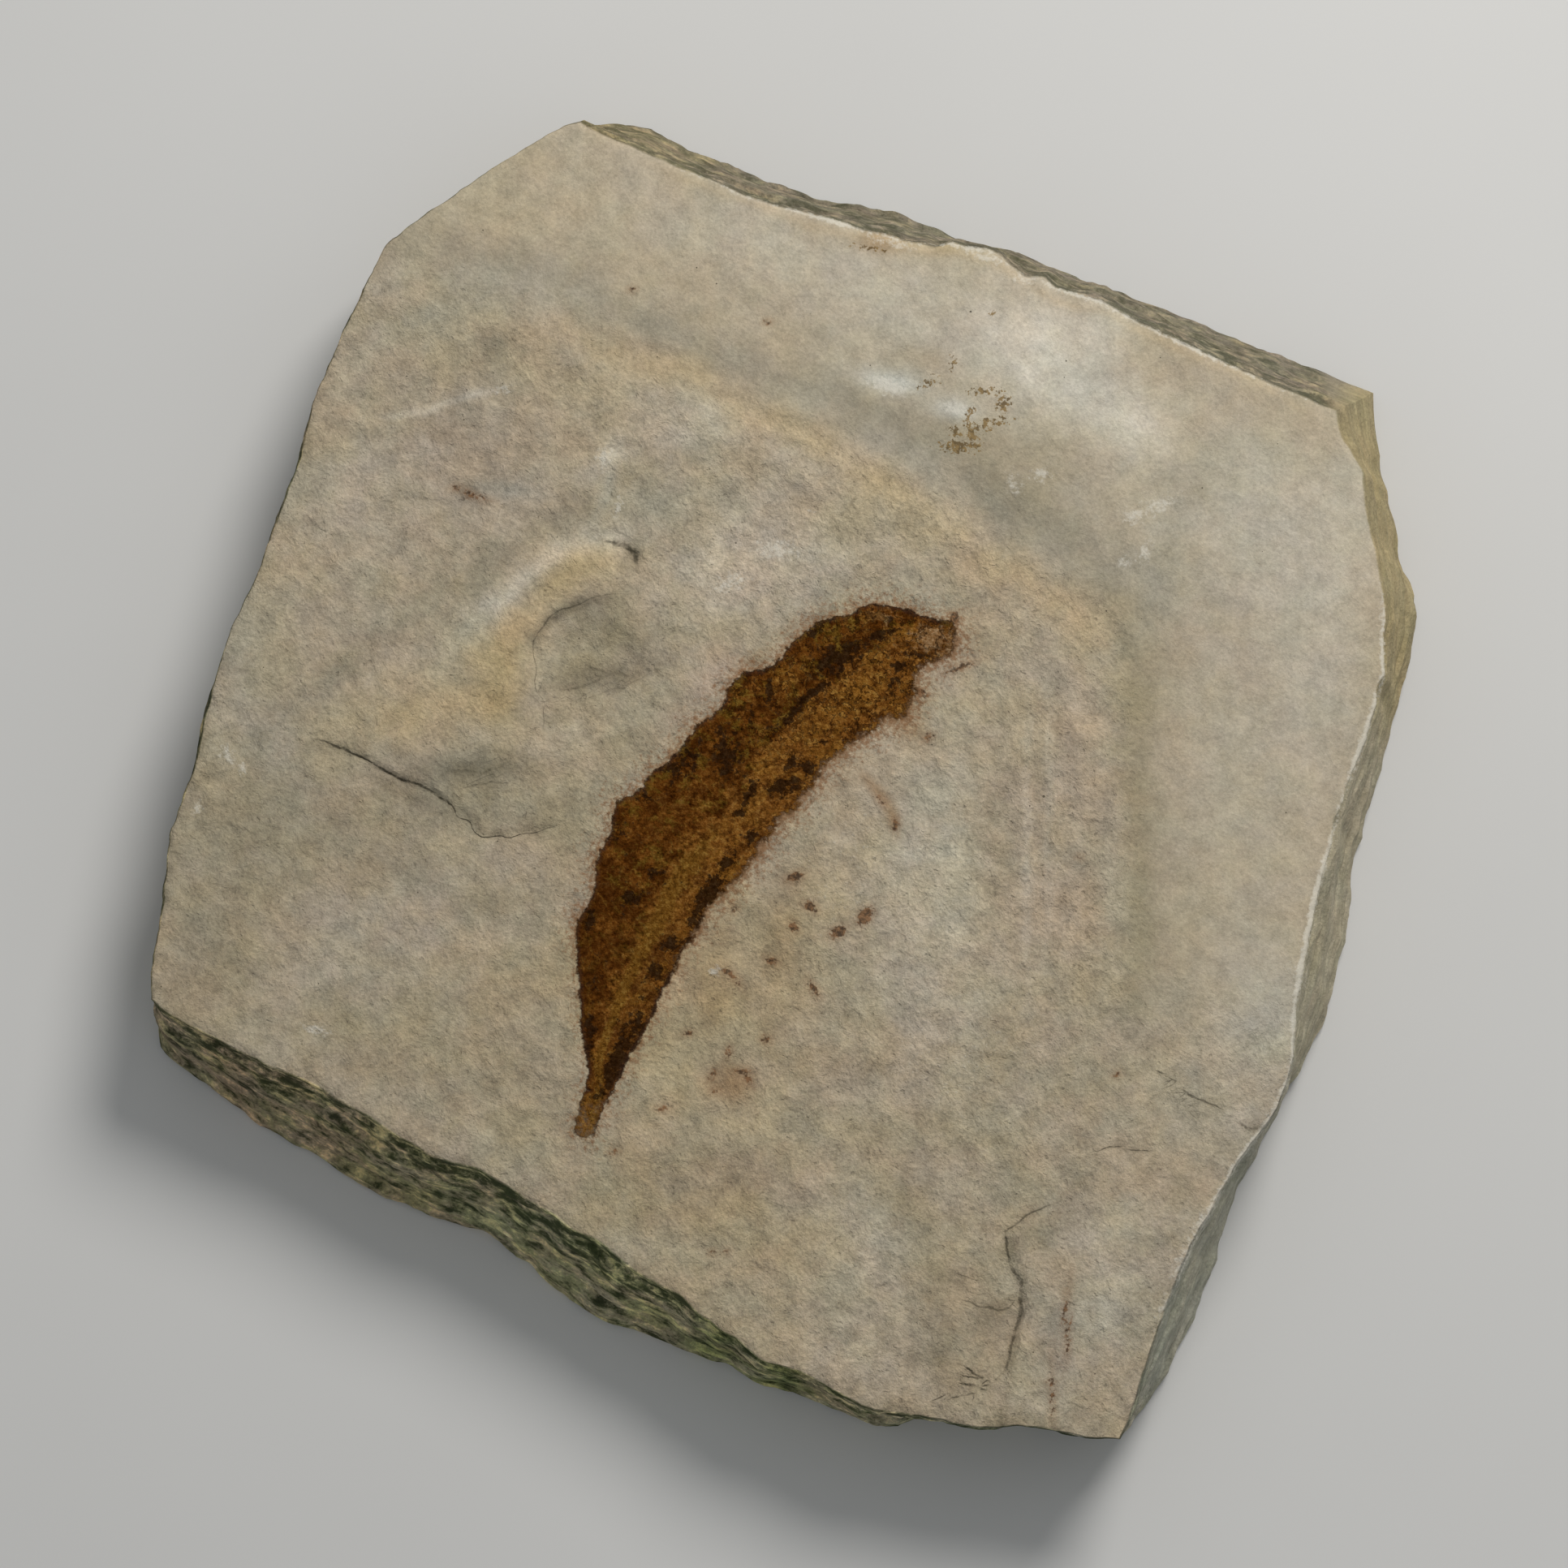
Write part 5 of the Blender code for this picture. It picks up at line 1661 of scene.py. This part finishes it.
@dataclass(frozen=True)
class SlabRim:
    """The rim of the fossil face, clockwise from the front left corner.

    Each point is x, y and how far the foot of the broken side lies from it along x and y.
    """

    left: Line = (
        (-59.1, -23.9, -0.4, -1), (-59.1, -21.5, -0.4, -0.2), (-58.1, -14.5, -0.5, 0), (-57.6, -8, -0.5, 0),
        (-55.6, -2.5, -1, 0), (-54.6, 2.5, -1, 0), (-52.6, 10.5, -0.5, 0), (-50.1, 16, -0.5, 0.5),
        (-48.1, 22, -1, 0.5), (-46.1, 27.5, -1, 0.5), (-45.1, 33, -0.5, 0), (-42.6, 39, -0.5, 0.5),
        (-39.6, 46, -1, 0.5), (-38.6, 48, -1, 0.5), (-34.5, 51.2, -0.5, 1), (-31.9, 53, -0.5, 0.9),
        (-28.5, 55.5, -0.5, 0.9), (-25.1, 57.7, -0.4, 1), (-21.8, 59.7, 0, 1.6), (-20.2, 60.1, 0.5, 3.5),
    )
    back: Line = (
        (-20.2, 60.1, 0.5, 3.5), (-18.4, 58.8, 1.6, 5), (-15, 57.4, 1.3, 6.1), (-11.6, 55.8, 1.6, 5.5),
        (-8.2, 54.4, 1.7, 5.3), (-4.8, 52.8, 2, 5.3), (-1.4, 51.7, 2, 5.2), (0.6, 51.2, 2, 4.9),
        (3.7, 50.4, 1.6, 5.1), (6.5, 49.4, 1.8, 5.7), (8.4, 49, 1.3, 5.8), (10.8, 48.3, 1.7, 5.4),
        (13.2, 47.8, 1.3, 5.1), (14.8, 48.2, 1.2, 4), (16.5, 47.7, 0.8, 3.9), (18.2, 47.6, 0.8, 3.7),
        (19.3, 47.1, 1, 4), (20.3, 45.9, 1.3, 5.1), (21.6, 45, 1.7, 5.3), (23.5, 44.8, 1.7, 4.5),
        (24.5, 43.7, 2.1, 5.2), (26.4, 43.2, 2.1, 5), (28.4, 42.7, 1.6, 5), (32.1, 40.6, 2.4, 5.3),
        (35.2, 39, 2.5, 5.5), (39.7, 36.8, 2.3, 5.8), (43.5, 35, 2.6, 6.1), (48, 32.9, 3.1, 6),
        (50.6, 31.8, 5, 5.3),
    )
    right: Line = (
        (50.6, 31.8, 5, 5.3), (50.8, 30.3, 5, 4), (51.3, 28.9, 4.8, 2.8), (52.4, 27.1, 3.7, 1.6),
        (53, 25.8, 3.8, 1), (53.1, 23.1, 4.4, 0), (53.4, 21.1, 4.2, -0.4), (53.9, 18.8, 4.2, 0),
        (54.3, 16.5, 4.8, 0.2), (54.7, 14.2, 4.6, 0.6), (54.9, 11.9, 3.9, 0.7), (54.6, 10, 3.7, 0.4),
        (54.6, 8, 3, 0.6), (54.7, 6.6, 2.4, 0), (54, 5.6, 2.7, -0.2), (53.9, 4.2, 2.4, -0.3),
        (53.2, 1.8, 2.3, -0.3), (52.4, -0.5, 2.7, -0.4), (51.3, -2.9, 3, -0.5), (50.6, -5.3, 2.8, -0.4),
        (49.7, -7, 3.3, -0.4), (49.4, -9.7, 2.9, -0.5), (48.8, -11.4, 3.3, -0.5), (48.1, -13.7, 3.7, -0.5),
        (47.5, -16.7, 4.3, 0), (47, -19, 4, -0.3), (46.5, -21.7, 3.9, -0.3), (45.9, -24.4, 3.6, 0),
        (45.8, -27, 2.4, 0), (45.7, -28.8, 1.4, 0), (45.5, -30.5, 0.3, 0), (44.2, -34, 0, 0),
        (43.2, -35.4, 0, 0), (41.8, -37.2, 0.6, -0.3), (40.2, -39.4, 0.9, -0.4), (38.7, -41.9, 1.8, 0),
        (37.8, -43.8, 2, -0.2), (36.4, -45.9, 2.6, -0.5), (35.2, -48.5, 2.8, -0.5),
        (33.9, -51.7, 2.8, -0.5), (33, -54.3, 2.5, -0.5), (32, -56.9, 2.5, -0.3), (31.2, -59.6, 1.6, -0.4),
        (30.3, -62.2, 0.9, 0.8), (29.3, -64.4, 1, 2.5),
    )
    front: Line = (
        (29.3, -64.4, 1, 2.5), (27.1, -64.3, 0, 2), (24.9, -63.9, 0, 2), (23, -63.5, 0, 2),
        (20.8, -63.3, 0, 2), (16.4, -63.3, 0, 2), (14.1, -62.8, 0, 1.8), (11.2, -62.2, 0, 1.3),
        (9.7, -62, -0.3, -0.1), (7.3, -61.7, 0, -0.3), (5.9, -61.1, 0, -0.2), (4.2, -60.3, 0, -0.4),
        (2.4, -59.2, 0, -0.6), (0.5, -58.1, -0.2, -0.8), (-1.2, -57.75, -0.3, -0.7),
        (-3, -57.2, -0.5, -0.8), (-4.1, -56.3, -0.6, -1.2), (-5.2, -55.3, -1, -1.2),
        (-6.7, -54.4, -1.3, -1.4), (-8.6, -52.9, -1.5, -2.2), (-10.3, -51.2, -2.2, -3),
        (-12.3, -50.3, -2.5, -3), (-14.2, -49.2, -2.8, -3.6), (-16.1, -47.7, -3, -4.2),
        (-17.9, -46.2, -3.2, -4.3), (-20.2, -45.2, -3, -3.7), (-22.4, -43.5, -2.9, -3.5),
        (-24.7, -42.2, -2.4, -3.2), (-26.9, -40.9, -2.3, -3.3), (-28.8, -39.6, -2, -4),
        (-31.4, -38.9, -2, -3.6), (-33.8, -38, -2, -3.6), (-36, -36.7, -2, -4.1),
        (-38.3, -35.2, -2.1, -4.3), (-40.6, -33.9, -2.2, -4.1), (-42.8, -32.5, -2, -4.2),
        (-45.1, -31.2, -1.9, -4.3), (-47.7, -30.3, -2.1, -3.6), (-50, -29.1, -2, -3),
        (-52.3, -28, -1.9, -2.6), (-54.6, -26.8, -1.8, -2.2), (-56.8, -25.7, -1.6, -1.8),
        (-58.4, -24.7, -0.9, -1.7), (-59.1, -23.9, -0.4, -1),
    )
    chips: Ripple = Ripple(51)
    heading_span: int = 6

    def loop(self, cells: int) -> Array:
        """The whole rim, anticlockwise from the front left corner, with the small chips of a broken edge.

        A chip moves the rim in or out by noise of two sizes.

        Args:
            cells: how many cells each of the four edges has.

        Returns:
            The loop's points, each with its lean.
        """
        edges = (self.front, self.right, self.back, self.left)
        loop = np.vstack([evenly_along(edge[::-1], cells + 1)[:-1] for edge in edges])
        x, y = loop[:, 0], loop[:, 1]
        chip = 0.05 * self.chips.layered(x, y, 6, 2) + 0.1 * self.chips.layered(x, y, 1.6, 2) - 0.06
        loop[:, :2] -= self.outward(loop[:, :2]) * chip[:, None]
        return loop

    def outward(self, loop: Array) -> Array:
        """Unit vectors pointing out of an anticlockwise loop, square to the way between near neighbours.

        Args:
            loop: the loop's points.

        Returns:
            One vector for each point.
        """
        heading = np.roll(loop, -self.heading_span, axis=0) - np.roll(loop, self.heading_span, axis=0)
        heading = heading / np.linalg.norm(heading, axis=1)[:, None]
        return np.column_stack([heading[:, 1], -heading[:, 0]])


@dataclass
class StoneSlab:
    """The slab as one closed mesh: its fossil face, its broken sides in thin beds, and its underside."""

    name: str = "shale_slab"
    node: str = "stone_slab"
    slot: str = "pale_shale"
    rim: SlabRim = SlabRim()
    cells: int = 236
    bed_heights: tuple[float, ...] = (11.3, 8.9, 6.8, 4.1, 1.9)
    bed_recess: float = 0.45
    bed_reach: float = 1.6
    bed_waves: Line = ((3, 2.1, 1), (8, 4.3, 0.7), (19, 1.7, 0.6))
    ledge_fall: float = 0.25
    foot_chamfer: float = 0.7
    lamina_spacing: float = 0.52
    lamina_depth: float = 0.2
    facet_depth: float = 0.16
    fullness: float = 0.5
    edge_bevel: float = 0.13
    edge_wear: float = 0.15
    underside_rings: int = 13
    girth: float = 380
    crease: float = 38
    laminae: Ripple = Ripple(71)
    facets: Ripple = Ripple(72)
    sole: Ripple = Ripple(73)

    def face_points(self, loop: Array) -> Array:
        """The fossil face: a Coons patch between the four edges, raised to the face's height.

        The patch adds the two ruled surfaces between facing edges and takes off the one between corners.
        The height falls by a bell of the distance from the rim, where the edge is worn.

        Args:
            loop: the rim's points, moved in by the bevel.

        Returns:
            The points, row by row from the front.
        """
        cells = self.cells
        closed = np.vstack([loop, loop[:1]])
        front, right, back, left = (closed[i * cells : (i + 1) * cells + 1] for i in range(4))
        back, left = back[::-1], left[::-1]
        across = np.linspace(0, 1, cells + 1)[None, :, None]
        along = np.linspace(0, 1, cells + 1)[:, None, None]
        patch = (1 - along) * front[None] + along * back[None]
        patch = patch + (1 - across) * left[:, None] + across * right[:, None]
        patch = patch - (1 - along) * ((1 - across) * front[0] + across * front[-1])
        patch = patch - along * ((1 - across) * back[0] + across * back[-1])
        x, y = patch[..., 0].ravel(), patch[..., 1].ravel()
        number = np.arange(cells + 1)
        from_edge = np.minimum(number, cells - number)
        steps_in = np.minimum(from_edge[:, None], from_edge[None]).ravel()
        crumble = 1 + 0.8 * self.facets.layered(x, y, 2.2, 2)
        wear = self.edge_wear * np.maximum(crumble, 0.2) * bell(steps_in, 1.3)
        return np.column_stack([x, y, RELIEF.height(x, y) - wear])

    def bed_inset(self, place: Array, bed: int) -> Array:
        """How far a bed stands back round the rim: a smooth step of a sum of sine waves.

        Args:
            place: the share of the way round the rim.
            bed: the bed's number from the top.

        Returns:
            The distance for each place.
        """
        wave = np.zeros(len(place))
        for count, shift, strength in self.bed_waves:
            wave += strength * np.sin(2 * np.pi * count * place + shift * bed)
        return self.bed_recess * ramp(wave, -self.bed_reach, self.bed_reach)

    def ring_plan(self) -> list[tuple[float, int]]:
        """The heights of the side's loops from the rim down, each with the number of its bed."""
        tops = (RELIEF.thickness - 0.3,) + tuple(height - self.ledge_fall for height in self.bed_heights)
        bottoms = self.bed_heights + (self.foot_chamfer,)
        plan = []
        for bed, (top, bottom) in enumerate(zip(tops, bottoms)):
            count = max(2, round((top - bottom) / self.lamina_spacing) + 1)
            plan += [(float(height), bed) for height in np.linspace(top, bottom, count)]
        return plan

    def side_points(self, loop: Array) -> list[Array]:
        """The broken side's loops from under the rim down to the foot.

        A loop leans out with its depth below the rim. It stands back by its bed's inset, by facets that
        the whole side shares, and by a lamina's own noise, which is drawn out along the rim, all of them
        less the side's fullness.

        Args:
            loop: the rim's points, each with its lean.

        Returns:
            One array of points for each loop.
        """
        place = np.arange(len(loop)) / len(loop)
        outward = self.rim.outward(loop[:, :2])
        rim_height = RELIEF.height(loop[:, 0], loop[:, 1])
        length = place * self.girth
        rings = []
        for number, (height, bed) in enumerate(self.ring_plan()):
            fall = 1 - height / RELIEF.thickness
            depth = np.full(len(loop), number * 0.9)
            facet = self.facet_depth * (1 + self.facets.layered(length / 4.5, depth * 0.25, 1, 3))
            lamina = self.lamina_depth * (1 + self.laminae.layered(length / 5, depth * 3.7, 1, 3))
            eased = ramp(np.array(fall), 0, 0.12)
            inset = (self.bed_inset(place, bed) + np.maximum(facet + lamina, 0) - self.fullness) * eased
            flat = loop[:, :2] + loop[:, 2:] * fall - outward * inset[:, None]
            waver = 0.14 * self.laminae.waves(length / 7, depth * 0.2) * np.sin(np.pi * fall)
            rings.append(np.column_stack([flat, height * rim_height / RELIEF.thickness + waver]))
        foot = loop[:, :2] + loop[:, 2:] - outward * (self.foot_chamfer + 0.3 * self.facet_depth)
        rings.append(np.column_stack([foot, np.zeros(len(foot))]))
        return rings

    def underside_points(self, foot: Array) -> list[Array]:
        """The underside's loops from the foot to near the middle: the foot scaled towards the origin.

        The stone rises a little off the ground by noise cut into terraces, as bedding planes break.

        Args:
            foot: the points of the foot.

        Returns:
            One array of points for each loop, and last a single point in the middle.
        """
        rings = []
        for number in range(1, self.underside_rings + 1):
            share = 1 - number / (self.underside_rings + 1)
            flat = foot[:, :2] * share
            swell = self.sole.layered(flat[:, 0], flat[:, 1], 26, 4)
            terraces = 0.35 * ramp(swell, 0.05, 0.12) + 0.3 * ramp(swell, 0.42, 0.48) + 0.05 * np.abs(swell)
            rings.append(np.column_stack([flat, terraces * ramp(np.array(float(number)), 0, 2)]))
        rings.append(np.array([[0, 0, rings[-1][:, 2].mean()]]))
        return rings

    def build(self) -> Object:
        """Makes the slab's mesh.

        Returns:
            The slab's object.
        """
        loop = self.rim.loop(self.cells)
        inner = loop[:, :2] - self.rim.outward(loop[:, :2]) * self.edge_bevel
        side = self.side_points(loop)
        under = self.underside_points(side[-1])
        rows = [self.face_points(inner)] + side + under
        faces = grid_quads(self.cells + 1, self.cells + 1).tolist()
        upper = grid_border(self.cells + 1, self.cells + 1)
        first = len(rows[0])
        for ring in side + under[:-1]:
            lower = np.arange(first, first + len(ring))
            faces += band_quads(upper, lower).tolist()
            upper = lower
            first += len(ring)
        middle = np.full(len(upper), first)
        faces += np.stack([upper, middle, np.roll(upper, -1)], axis=1).tolist()
        points = held_in_box(np.vstack(rows))
        kinds = [0] + [1] * len(side) + [2] * len(under)
        zone = np.concatenate([np.full(len(row), kind) for row, kind in zip(rows, kinds)])
        fields = COAT.fields(points[:, 0], points[:, 1], zone)
        return make_piece(self.name, points, faces, fields, self.crease)


def held_in_box(points: Array) -> Array:
    """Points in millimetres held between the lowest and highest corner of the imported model's box."""
    return np.clip(points, np.array(CAD_BOX[0]) / MM, np.array(CAD_BOX[1]) / MM)


# The leaf


DARK_BLOTS = ovals(
    (-16.3, -29.4, 3.9, 0.95, 67), (-14.6, -26.6, 1, 0.8, 60, 0.8), (-12.6, -21.4, 1, 0.75, 60),
    (-11.4, -18.9, 1.4, 0.8, 20, 0.75), (-9.3, -16.2, 1.2, 0.5, 60, 0.7), (-7.9, -13.9, 2.3, 0.85, 52),
    (-6.1, -10.8, 1.6, 0.6, 60, 0.9), (-4, -8.6, 0.9, 0.35, 70, 0.8), (-5.2, -6.5, 0.8, 0.4, 10, 0.9),
    (-4.1, -4.6, 1.3, 0.4, 60), (-1, -4, 1.5, 0.8, 15), (-0.3, -1.9, 0.5, 0.9, 0), (1.2, -2.1, 0.6, 0.9, 0),
    (-6.2, -0.8, 1.5, 2.4, 10, 0.75), (-6.3, -2.9, 0.6, 0.6, 0, 0.9), (-10.3, -1.8, 2.2, 1.3, 50, 0.7),
    (-13.8, -5, 0.9, 0.7, 0, 0.7), (-12.9, -12, 1.1, 0.8, 0, 0.7), (-15.1, -14.4, 1.2, 0.7, 30, 0.9),
    (-19, -16.2, 0.7, 1.2, 0, 0.7), (-18.6, -22, 1.1, 4.5, 0, 0.3), (-18.8, -27.8, 0.6, 2.4, -5, 0.75),
    (-16.4, -8, 1.2, 2.4, 0, 0.4), (-2.4, 5, 0.4, 1.6, 0, 0.8), (-4, 2.7, 0.3, 0.9, 0, 0.8),
    (-2, 1.4, 0.6, 1.2, 0, 0.6), (4.1, 8.2, 2.3, 1.3, 20, 0.95), (4.3, 9.2, 1.6, 0.6, 0, 0.8),
    (5.8, 9, 0.9, 0.6, 0, 0.8), (-5.9, -10.3, 1.7, 0.6, 52, 0.6), (7.7, 10.2, 0.8, 0.6, 30, 0.9),
    (9.2, 10.8, 1, 0.4, 20, 0.8), (9, 11.8, 0.35, 0.35, 0, 0.8), (9.8, 7.3, 0.8, 0.6, 0),
    (9.2, 6, 0.9, 0.5, 60, 0.6), (11.8, 8.5, 1, 0.25, -5, 0.8), (9.5, 4.8, 1, 0.6, 20, 0.5),
    (2.7, 0.2, 0.5, 0.4, 0, 0.8), (1.6, 10.4, 1.2, 0.5, 40, 0.6), (5.6, 12.6, 0.8, 0.3, 20, 0.6),
    (10.8, 12.4, 1.2, 0.25, -20, 0.6), (13.2, 11.6, 0.9, 0.2, -10, 0.7),
)
DARK_STRIPE = ((-1.6, 1.2), (-0.9, 2.1), (-0.1, 3.1), (0.9, 4.4), (2.1, 5.2), (3.1, 5.9), (3.9, 6.8))
RIGHT_EDGE_STRIPE = (
    (-17.6, -34.4), (-15.8, -30.2), (-13.4, -25.7), (-11.3, -21.2), (-9.3, -17.4), (-6.6, -13.6),
)

PALE_BLOTS = ovals(
    (-19.2, -34.6, 2.6, 0.9, 75), (-13.9, -22.8, 3.4, 0.8, 63, 0.5), (-11.3, -16.2, 3.8, 1.2, 60, 0.6),
    (-8.9, -11.8, 3, 1, 55, 0.5), (-6, -7.6, 2.6, 1.2, 50, 0.7), (-8.6, -5.6, 1.8, 0.9, 0, 0.6),
    (-2.4, -1.6, 2.6, 1.1, 50, 0.7), (2.4, 2.4, 3.6, 1.7, 40, 0.85), (5.6, 4.6, 3.2, 1.6, 30, 1.3),
    (7.4, 7.6, 2.2, 1.1, 35, 0.6), (13, 10, 1.9, 1.3, 0, 1.2), (8.5, 11.6, 0.5, 1, 0, 0.7),
    (1, 7.2, 1.2, 0.9, 30, 0.7), (6.4, 11.2, 0.9, 0.7, 0, 0.5), (7.4, 12.2, 1.7, 0.7, 0, 0.95),
    (-1, 6.2, 2, 1.3, 30, 0.9),
)


@dataclass
class CarbonLeaf:
    """The leaf as a thin closed film whose edges dip into the stone."""

    name: str = "carbon_leaf"
    node: str = "leaf_film"
    slot: str = "leaf_carbon"
    rows: int = 300
    columns: int = 24
    easing: int = 4
    overrun: float = 3
    fringe: float = 0.75
    lift: float = 0.035
    edge_dip: float = 0.15
    thickness: float = 0.3
    midrib_groove: float = 0.035
    crease: float = 60

    def eased(self, line: Array) -> Array:
        """A line without its small corners, each point the mean of its neighbours, drawn out at both ends.

        Args:
            line: the line's points.

        Returns:
            As many points.
        """
        span = self.easing
        padded = np.pad(line, ((span + 1, span), (0, 0)), mode="reflect", reflect_type="odd")
        sums = np.cumsum(padded, axis=0)
        eased = (sums[2 * span + 1 :] - sums[: -2 * span - 1]) / (2 * span + 1)
        eased[0] += self.overrun * (eased[0] - eased[1])
        eased[-1] += self.overrun * (eased[-1] - eased[-2])
        return eased

    def sheet(self) -> tuple[Array, Array]:
        """The film's points in plan: straight rows from the left margin over the midrib to the right.

        Returns:
            The x, y points by row and column, and the share of the way from the midrib to the margin, which
            is below 0 on the left.
        """
        lines = (OUTLINE.left, OUTLINE.right, OUTLINE.midrib)
        left, right, middle = (self.eased(evenly_along(line, self.rows)) for line in lines)
        left = left + across_left(left) * self.fringe
        right = right - across_left(right) * self.fringe
        share = np.sin(0.5 * np.pi * np.linspace(-1, 1, 2 * self.columns + 1))
        to_left = np.maximum(-share, 0)[None, :, None]
        to_right = np.maximum(share, 0)[None, :, None]
        points = middle[:, None] * (1 - to_left - to_right)
        points = points + left[:, None] * to_left + right[:, None] * to_right
        return points, np.broadcast_to(share, points.shape[:2])

    def build(self) -> Object:
        """Makes the film's mesh.

        Its top follows the stone, a little above it inside the margin and below it at the fringe, with a
        shallow groove along the midrib. Its underside runs parallel, inside the stone.

        Returns:
            The leaf's object.
        """
        plan, share = self.sheet()
        rows, columns = plan.shape[:2]
        x, y = plan[..., 0].ravel(), plan[..., 1].ravel()
        inside = OUTLINE.ring().depth(x, y)
        from_midrib = Trace(OUTLINE.midrib).distance(x, y)
        top = RELIEF.height(x, y) + self.lift * (0.6 + ramp(inside, -0.1, 0.15))
        top = top - self.edge_dip * (1 - ramp(inside, -self.fringe, -0.4))
        top = top - self.midrib_groove * bell(from_midrib, 0.3) * ramp(inside, 0, 0.4)
        upper = np.column_stack([x, y, top])
        lower = np.column_stack([x, y, top - self.thickness])
        count = len(upper)
        border = grid_border(rows, columns)
        faces = grid_quads(rows, columns, 0, True).tolist()
        faces += grid_quads(rows, columns, count).tolist()
        faces += band_quads(border, border + count)[:, ::-1].tolist()
        fields = self.fields(x, y, inside, share.ravel())
        doubled = {label: np.vstack([values, values]) for label, values in fields.items()}
        return make_piece(self.name, np.vstack([upper, lower]), faces, doubled, self.crease)

    def fields(self, x: Array, y: Array, inside: Array, share: Array) -> Fields:
        """What the leaf's finish reads: the stone's fields, the film's place and its blots.

        Args:
            x: places to the right.
            y: places to the back.
            inside: the distance from the margin, above 0 inside it.
            share: the share of the way from the midrib to the margin, below 0 on the left.

        Returns:
            The values by attribute name.
        """
        fields = COAT.fields(x, y, np.zeros(len(x)))
        from_midrib, along = Trace(OUTLINE.midrib).measure(x, y)
        length = np.linalg.norm(np.diff(np.array(OUTLINE.midrib), axis=0), axis=1).sum()
        stripe, stripe_place = Trace(DARK_STRIPE).measure(x, y)
        edge, edge_place = Trace(RIGHT_EDGE_STRIPE).measure(x, y)
        dark = cover(x, y, DARK_BLOTS, 1.15)
        dark = np.maximum(dark, bell(stripe, 0.42) * fade_ends(stripe_place))
        dark = np.maximum(dark, 0.6 * bell(edge, 0.22) * fade_ends(edge_place))
        lane_width = 0.5 + 0.6 * ramp(along, 0.15, 0.4)
        lane = bell(from_midrib / lane_width + 0.9, 1) * (1 - ramp(along, 0.42, 0.6))
        fields["film"] = np.column_stack([inside, share, along * length])
        fields["blots"] = np.column_stack([dark, cover(x, y, PALE_BLOTS, 1.15), lane])
        return fields


# The studio


@dataclass
class Studio:
    """A pale floor, one soft key light from the back right, a soft fill, and the photograph's camera."""

    photo_size: float = 1932
    scale: float = 13.35
    aim: Triple = (-1, -4, 13)
    distance: float = 600
    tilt: float = 12
    sensor: float = 36
    floor_size: float = 4000
    key_direction: Triple = (0.42, 0.72, 0.8)
    key_distance: float = 620
    key_size: float = 290
    key_power: float = 2.9
    key_colour: Triple = (1, 0.985, 0.96)
    sky_colour: Triple = (0.93, 0.97, 1)
    sky_strength: float = 0.34

    def camera(self) -> None:
        """Places the camera: it looks down at the face, tilted by a few degrees from straight down."""
        tilt = np.radians(self.tilt)
        forward = Vector((0, np.sin(tilt), -np.cos(tilt)))
        up = Vector((0, np.cos(tilt), np.sin(tilt)))
        lens = bpy.data.cameras.new("photo_camera")
        lens.sensor_width = self.sensor
        lens.lens = self.sensor * self.distance * self.scale / self.photo_size
        lens.clip_start = 0.01
        camera = linked("photo_camera", lens)
        camera.matrix_world = aimed(Vector(self.aim) * MM - forward * self.distance * MM, forward, up)
        bpy.context.scene.camera = camera

    def lights(self) -> None:
        """Makes the key light and the even fill from all round."""
        direction = Vector(self.key_direction).normalized()
        lamp = bpy.data.lights.new("key_light", "AREA")
        lamp.shape = "DISK"
        lamp.size = self.key_size * MM
        lamp.energy = self.key_power
        lamp.color = self.key_colour
        key = linked("key_light", lamp)
        key.matrix_world = aimed(direction * self.key_distance * MM, -direction, Vector((0, 0, 1)))
        world = bpy.data.worlds.new("soft_sky")
        world.use_nodes = True
        sky = world.node_tree.nodes["Background"]
        sky.inputs["Color"].default_value = (*self.sky_colour, 1)
        sky.inputs["Strength"].default_value = self.sky_strength
        bpy.context.scene.world = world

    def floor(self) -> None:
        """Lays the floor level with the slab's underside."""
        half = 0.5 * self.floor_size * MM
        mesh = bpy.data.meshes.new("studio_floor")
        corners = [(-half, -half, 0), (half, -half, 0), (half, half, 0), (-half, half, 0)]
        mesh.from_pydata(corners, [], [(0, 1, 2, 3)])
        mesh.materials.append(FloorFinish().material())
        floor = linked("studio_floor", mesh)
        floor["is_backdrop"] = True

    def build(self) -> None:
        """Sets up the whole studio and a plain view transform."""
        self.camera()
        self.lights()
        self.floor()
        bpy.context.scene.view_settings.view_transform = "Standard"


def aimed(place: Vector, forward: Vector, up: Vector) -> Matrix:
    """The matrix of a camera or lamp, which looks along its own -Z with +Y up.

    Args:
        place: where it stands.
        forward: the direction that it looks in.
        up: a direction that is up in its view.

    Returns:
        The matrix.
    """
    right = forward.cross(up).normalized()
    top = right.cross(forward).normalized()
    turned = Matrix((right, top, -forward)).transposed().to_4x4()
    return Matrix.Translation(place) @ turned


def dress(part: Union[StoneSlab, CarbonLeaf], material: Material) -> None:
    """Builds a part, gives it its material, and puts it in its node's place.

    Args:
        part: the slab or the leaf.
        material: its material.
    """
    piece = part.build()
    piece.data.materials.append(material)
    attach(piece, BODY)
    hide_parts(part.node)
    piece.data.calc_loop_triangles()
    log.info("%s: %d triangles, for node %s", part.name, len(piece.data.loop_triangles), part.node)


def main() -> None:
    """Builds the studio, the slab and the leaf, and logs their triangle counts."""
    logging.basicConfig(level=logging.INFO, format="%(message)s")
    Studio().build()
    shale = ShaleFinish()
    stone_group = shale.group()
    dress(StoneSlab(), shale.material(stone_group))
    dress(CarbonLeaf(), CarbonFinish().material(shale, stone_group))


if __name__ == "__main__":
    main()
